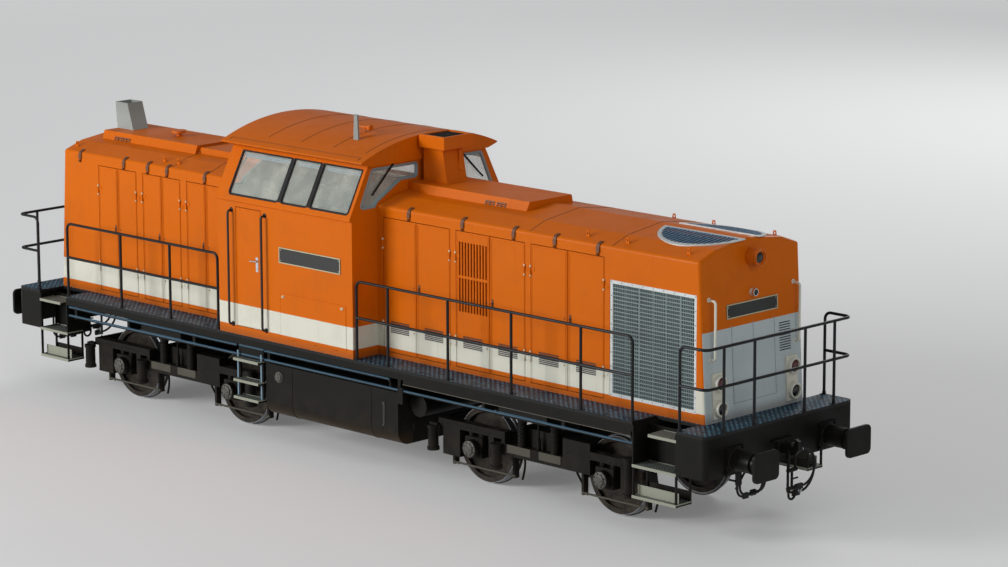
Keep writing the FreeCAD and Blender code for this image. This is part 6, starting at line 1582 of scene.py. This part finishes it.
def make_bogie_details(end):
    """Coils, axle box caps and bolts, rivets and sand pipes, which turn with a bogie."""
    body = f"bogie_{end}"
    centre = BOGIE_CENTRES[end]
    coils = [spring_route(centre + step, sign * SPRING_ACROSS) for step in SPRING_STEPS for sign in SIDES]
    tubes(f"bolster_coils_{end}", coils, SPRING_WIRE, FRAME_BLACK, body)
    bolts, covers, pipes = new_mesh(), new_mesh(), []
    for sign in SIDES:
        for axle in (-HALF_WHEELBASE, HALF_WHEELBASE):
            face = on_side(sign, centre + axle, AXLE_HEIGHT, BOX_FACE)
            add_bolt_ring(bolts, moved(face, 0, 0, 0.004), 0.086, 8, 0.0055, math.pi / 8)
            cap = moved(face, 0, 0, 0.015)
            add_turned(covers, face, [(0.106, -0.001), (0.106, 0.003), (0.100, 0.006), (0.069, 0.006)], 40)
            add_turned(covers, cap, AXLE_CAP, 32)
            add_bolt_ring(bolts, moved(cap, 0, 0, 0.004), 0.050, 3, 0.0045)
            wheel = centre + axle
            for step in (-1, 1):
                top = Vector((wheel + step * 0.70, sign * 0.895, 0.82))
                pipes.append([top, top + Vector((0, 0, -0.16)),
                              top + Vector((step * 0.01, -sign * 0.05, -0.34)),
                              Vector((wheel + step * 0.63, sign * 0.775, 0.27)),
                              Vector((wheel + step * 0.575, sign * 0.76, 0.155))])
        for start, pitch, numbers, height, rivet in RIVET_ROWS:
            for number in numbers:
                place = on_side(sign, centre + start + number * pitch, height, FRAME_OUTER)
                add_turned(bolts, place, rivet, 10)
    tubes(f"sand_pipes_{end}", pipes, 0.015, FRAME_BLACK, body, smooth=True)
    piece(f"bogie_bolts_{end}", bolts, FRAME_BLACK, body)
    piece(f"axle_box_caps_{end}", covers, FITTING, body)


for end in ENDS:
    make_bogie_details(end)

# --- Ends: buffers, hoses, beam fittings ---

BUFFER_ACROSS = 0.875
BUFFER_HEIGHT = 1.088
BEAM_FACE = 6.596
RIVET_ROW = 1.345 + RAIL
HOOK_GAP, BUFFER_GAP, HOSE_ACROSS = 0.12, 0.20, 0.42     # rivets leave room round these
STEM_COLLAR = [(0.131, 0), (0.136, 0.004), (0.136, 0.018), (0.128, 0.024), (0.112, 0.024)]
SEAT_COLLAR = [(0.152, -0.001), (0.152, 0.012), (0.140, 0.020), (0.131, 0.020)]


def make_buffer_details():
    """Seat bolts, stem collars and rubbed face pads of the buffers."""
    bolts, collars, pads = new_meshes(3)
    for end in ENDS:
        for sign in SIDES:
            seat = on_end(end, sign * BUFFER_ACROSS, BUFFER_HEIGHT, BEAM_FACE + 0.030)
            for across in (-0.135, 0.135):
                for upward in (-0.135, 0.135):
                    add_bolt(bolts, moved(seat, across, upward), 0.011)
            add_turned(collars, moved(seat, 0, 0, 0.286), STEM_COLLAR, 36)
            add_turned(collars, moved(seat, 0, 0, 0.002), SEAT_COLLAR, 36)
            face = on_end(end, sign * BUFFER_ACROSS, BUFFER_HEIGHT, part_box("buffers")[1][0] - 0.0015)
            add_turned(pads, face, [(0.150, -0.001), (0.150, 0.0008), (0.075, 0.0022), (0, 0.0026)], 40)
    piece("buffer_bolts", bolts, FRAME_BLACK)
    piece("buffer_collars", collars, FRAME_BLACK)
    piece("buffer_face_pads", pads, FRAME_BLACK)


HOSE_REACHES = (0.124, 0.164)
HOSE_ENDS = ((0.200, 1.03 + RAIL), (0.180, 0.50 + RAIL))


def make_hose_fittings():
    """Clamps on the hoses' ends and cock levers on the beams."""
    clamps, levers = new_meshes(2)
    for along in ENDS.values():
        for reach in HOSE_REACHES:
            for y, z in HOSE_ENDS:
                centre = Vector((along * (BEAM_FACE + reach), y, z))
                add_turned(clamps, local(centre, (0, 0, 1), (0, 1, 0)),
                           [(0.022, -0.012), (0.026, -0.010), (0.026, 0.010), (0.022, 0.012)], 18)
        cock = Vector((along * (BEAM_FACE + 0.10), 0.095, 1.062 + RAIL))
        add_bar(levers, cock, cock + Vector((0, 0, 0.045)), 0.008)
        add_bar(levers, cock + Vector((0, 0, 0.040)), cock + Vector((along * 0.02, 0.115, 0.052)), 0.0075)
    piece("hose_clamps", clamps, CHROME)
    piece("cock_levers", levers, FITTING)


def make_beam_rivets():
    """A row of rivets along the top of each end beam's face, clear of the hook, the buffers and the hoses."""
    mesh = new_mesh()
    for end in ENDS:
        for index in range(25):
            y = -1.20 + index * 0.10
            by_hose = abs(abs(y) - HOSE_ACROSS) <= 0.10
            if abs(abs(y) - BUFFER_ACROSS) > BUFFER_GAP and abs(y) > HOOK_GAP and not by_hose:
                add_turned(mesh, on_end(end, y, RIVET_ROW, BEAM_FACE), BEAM_RIVET, 10)
    piece("beam_rivets", mesh, FRAME_BLACK)


make_buffer_details()
make_hose_fittings()
make_beam_rivets()

# --- Floor, light and camera ---

FLOOR_HALF, FLOOR_COLOUR = 400.0, (0.72, 0.72, 0.72)
FLOOR_GLOW = (8.0, 70.0, 0.14, 0.40)      # near and far distance, and the glow at each
LAMPS = {"key": ((-20.0, -38.0, 15.0), 14500.0), "fill": ((36.0, -12.0, 18.0), 2400.0),
         "back": ((-8.0, 34.0, 20.0), 3600.0)}
LAMP_SIZE = 16.0
LAMP_TARGET = (0.0, 0.0, 2.0)
WORLD_COLOUR, WORLD_STRENGTH = (0.86, 0.88, 0.9, 1.0), 0.30
CAMERA_TURN, CAMERA_RISE, CAMERA_ROLL = 44.48, 11.52, -0.18
CAMERA_PLACE = (34.64, -33.385, 11.97 + RAIL)
CAMERA_LENS = 130.54


def make_stage():
    """A plain pale floor that brightens away from the locomotive."""
    mesh = bpy.data.meshes.new("floor")
    corners = [(x * FLOOR_HALF, y * FLOOR_HALF, 0) for x, y in ((-1, -1), (1, -1), (1, 1), (-1, 1))]
    mesh.from_pydata(corners, [], [(0, 1, 2, 3)])
    floor = bpy.data.objects.new("floor", mesh)
    bpy.context.scene.collection.objects.link(floor)
    pale = Surface("floor_pale", 0.9)
    pale.feed("Base Color", FLOOR_COLOUR)
    rays = pale.tree.nodes.new("ShaderNodeLightPath").outputs
    camera, glossy, through = (Field(pale.tree, rays[f"Is {ray} Ray"])
                               for ray in ("Camera", "Glossy", "Transmission"))
    pale.feed("Emission Color", (1.0, 1.0, 1.0))
    pale.feed("Emission Strength", (camera | glossy | through) * pale.x.away(pale.y).ramp(*FLOOR_GLOW))
    mesh.materials.append(pale.material)


def area_light(name, place, target, size, power):
    """A square soft light aimed at a point."""
    data = bpy.data.lights.new(name, "AREA")
    data.shape = "SQUARE"
    data.size = size
    data.energy = power
    lamp = bpy.data.objects.new(name, data)
    lamp.location = place
    lamp.rotation_euler = (Vector(target) - Vector(place)).to_track_quat("-Z", "Y").to_euler()
    bpy.context.scene.collection.objects.link(lamp)


def make_lights():
    """Three soft lamps and a plain world."""
    for name, (place, power) in LAMPS.items():
        area_light(name, place, LAMP_TARGET, LAMP_SIZE, power)
    world = bpy.data.worlds.new("studio")
    world.use_nodes = True
    background = world.node_tree.nodes["Background"]
    background.inputs["Color"].default_value = WORLD_COLOUR
    background.inputs["Strength"].default_value = WORLD_STRENGTH
    bpy.context.scene.world = world


def make_camera():
    """A three-quarter view of the near side from the radiator end."""
    azimuth, elevation, roll = (math.radians(turn) for turn in (CAMERA_TURN, CAMERA_RISE, CAMERA_ROLL))
    back = Vector((math.sin(azimuth) * math.cos(elevation), -math.cos(azimuth) * math.cos(elevation),
                   math.sin(elevation)))
    right = Vector((math.cos(azimuth), math.sin(azimuth), 0.0))
    over = back.cross(right)
    across = right * math.cos(roll) + over * math.sin(roll)
    upward = over * math.cos(roll) - right * math.sin(roll)
    turn = Matrix((across, upward, back)).transposed().to_4x4()
    data = bpy.data.cameras.new("camera")
    data.sensor_width = 36.0
    data.lens = CAMERA_LENS
    data.clip_end = 1000.0
    camera = bpy.data.objects.new("camera", data)
    camera.matrix_world = Matrix.Translation(CAMERA_PLACE) @ turn
    bpy.context.scene.collection.objects.link(camera)
    bpy.context.scene.camera = camera


make_stage()
make_lights()
make_camera()
bpy.context.scene.view_settings.view_transform = "Standard"
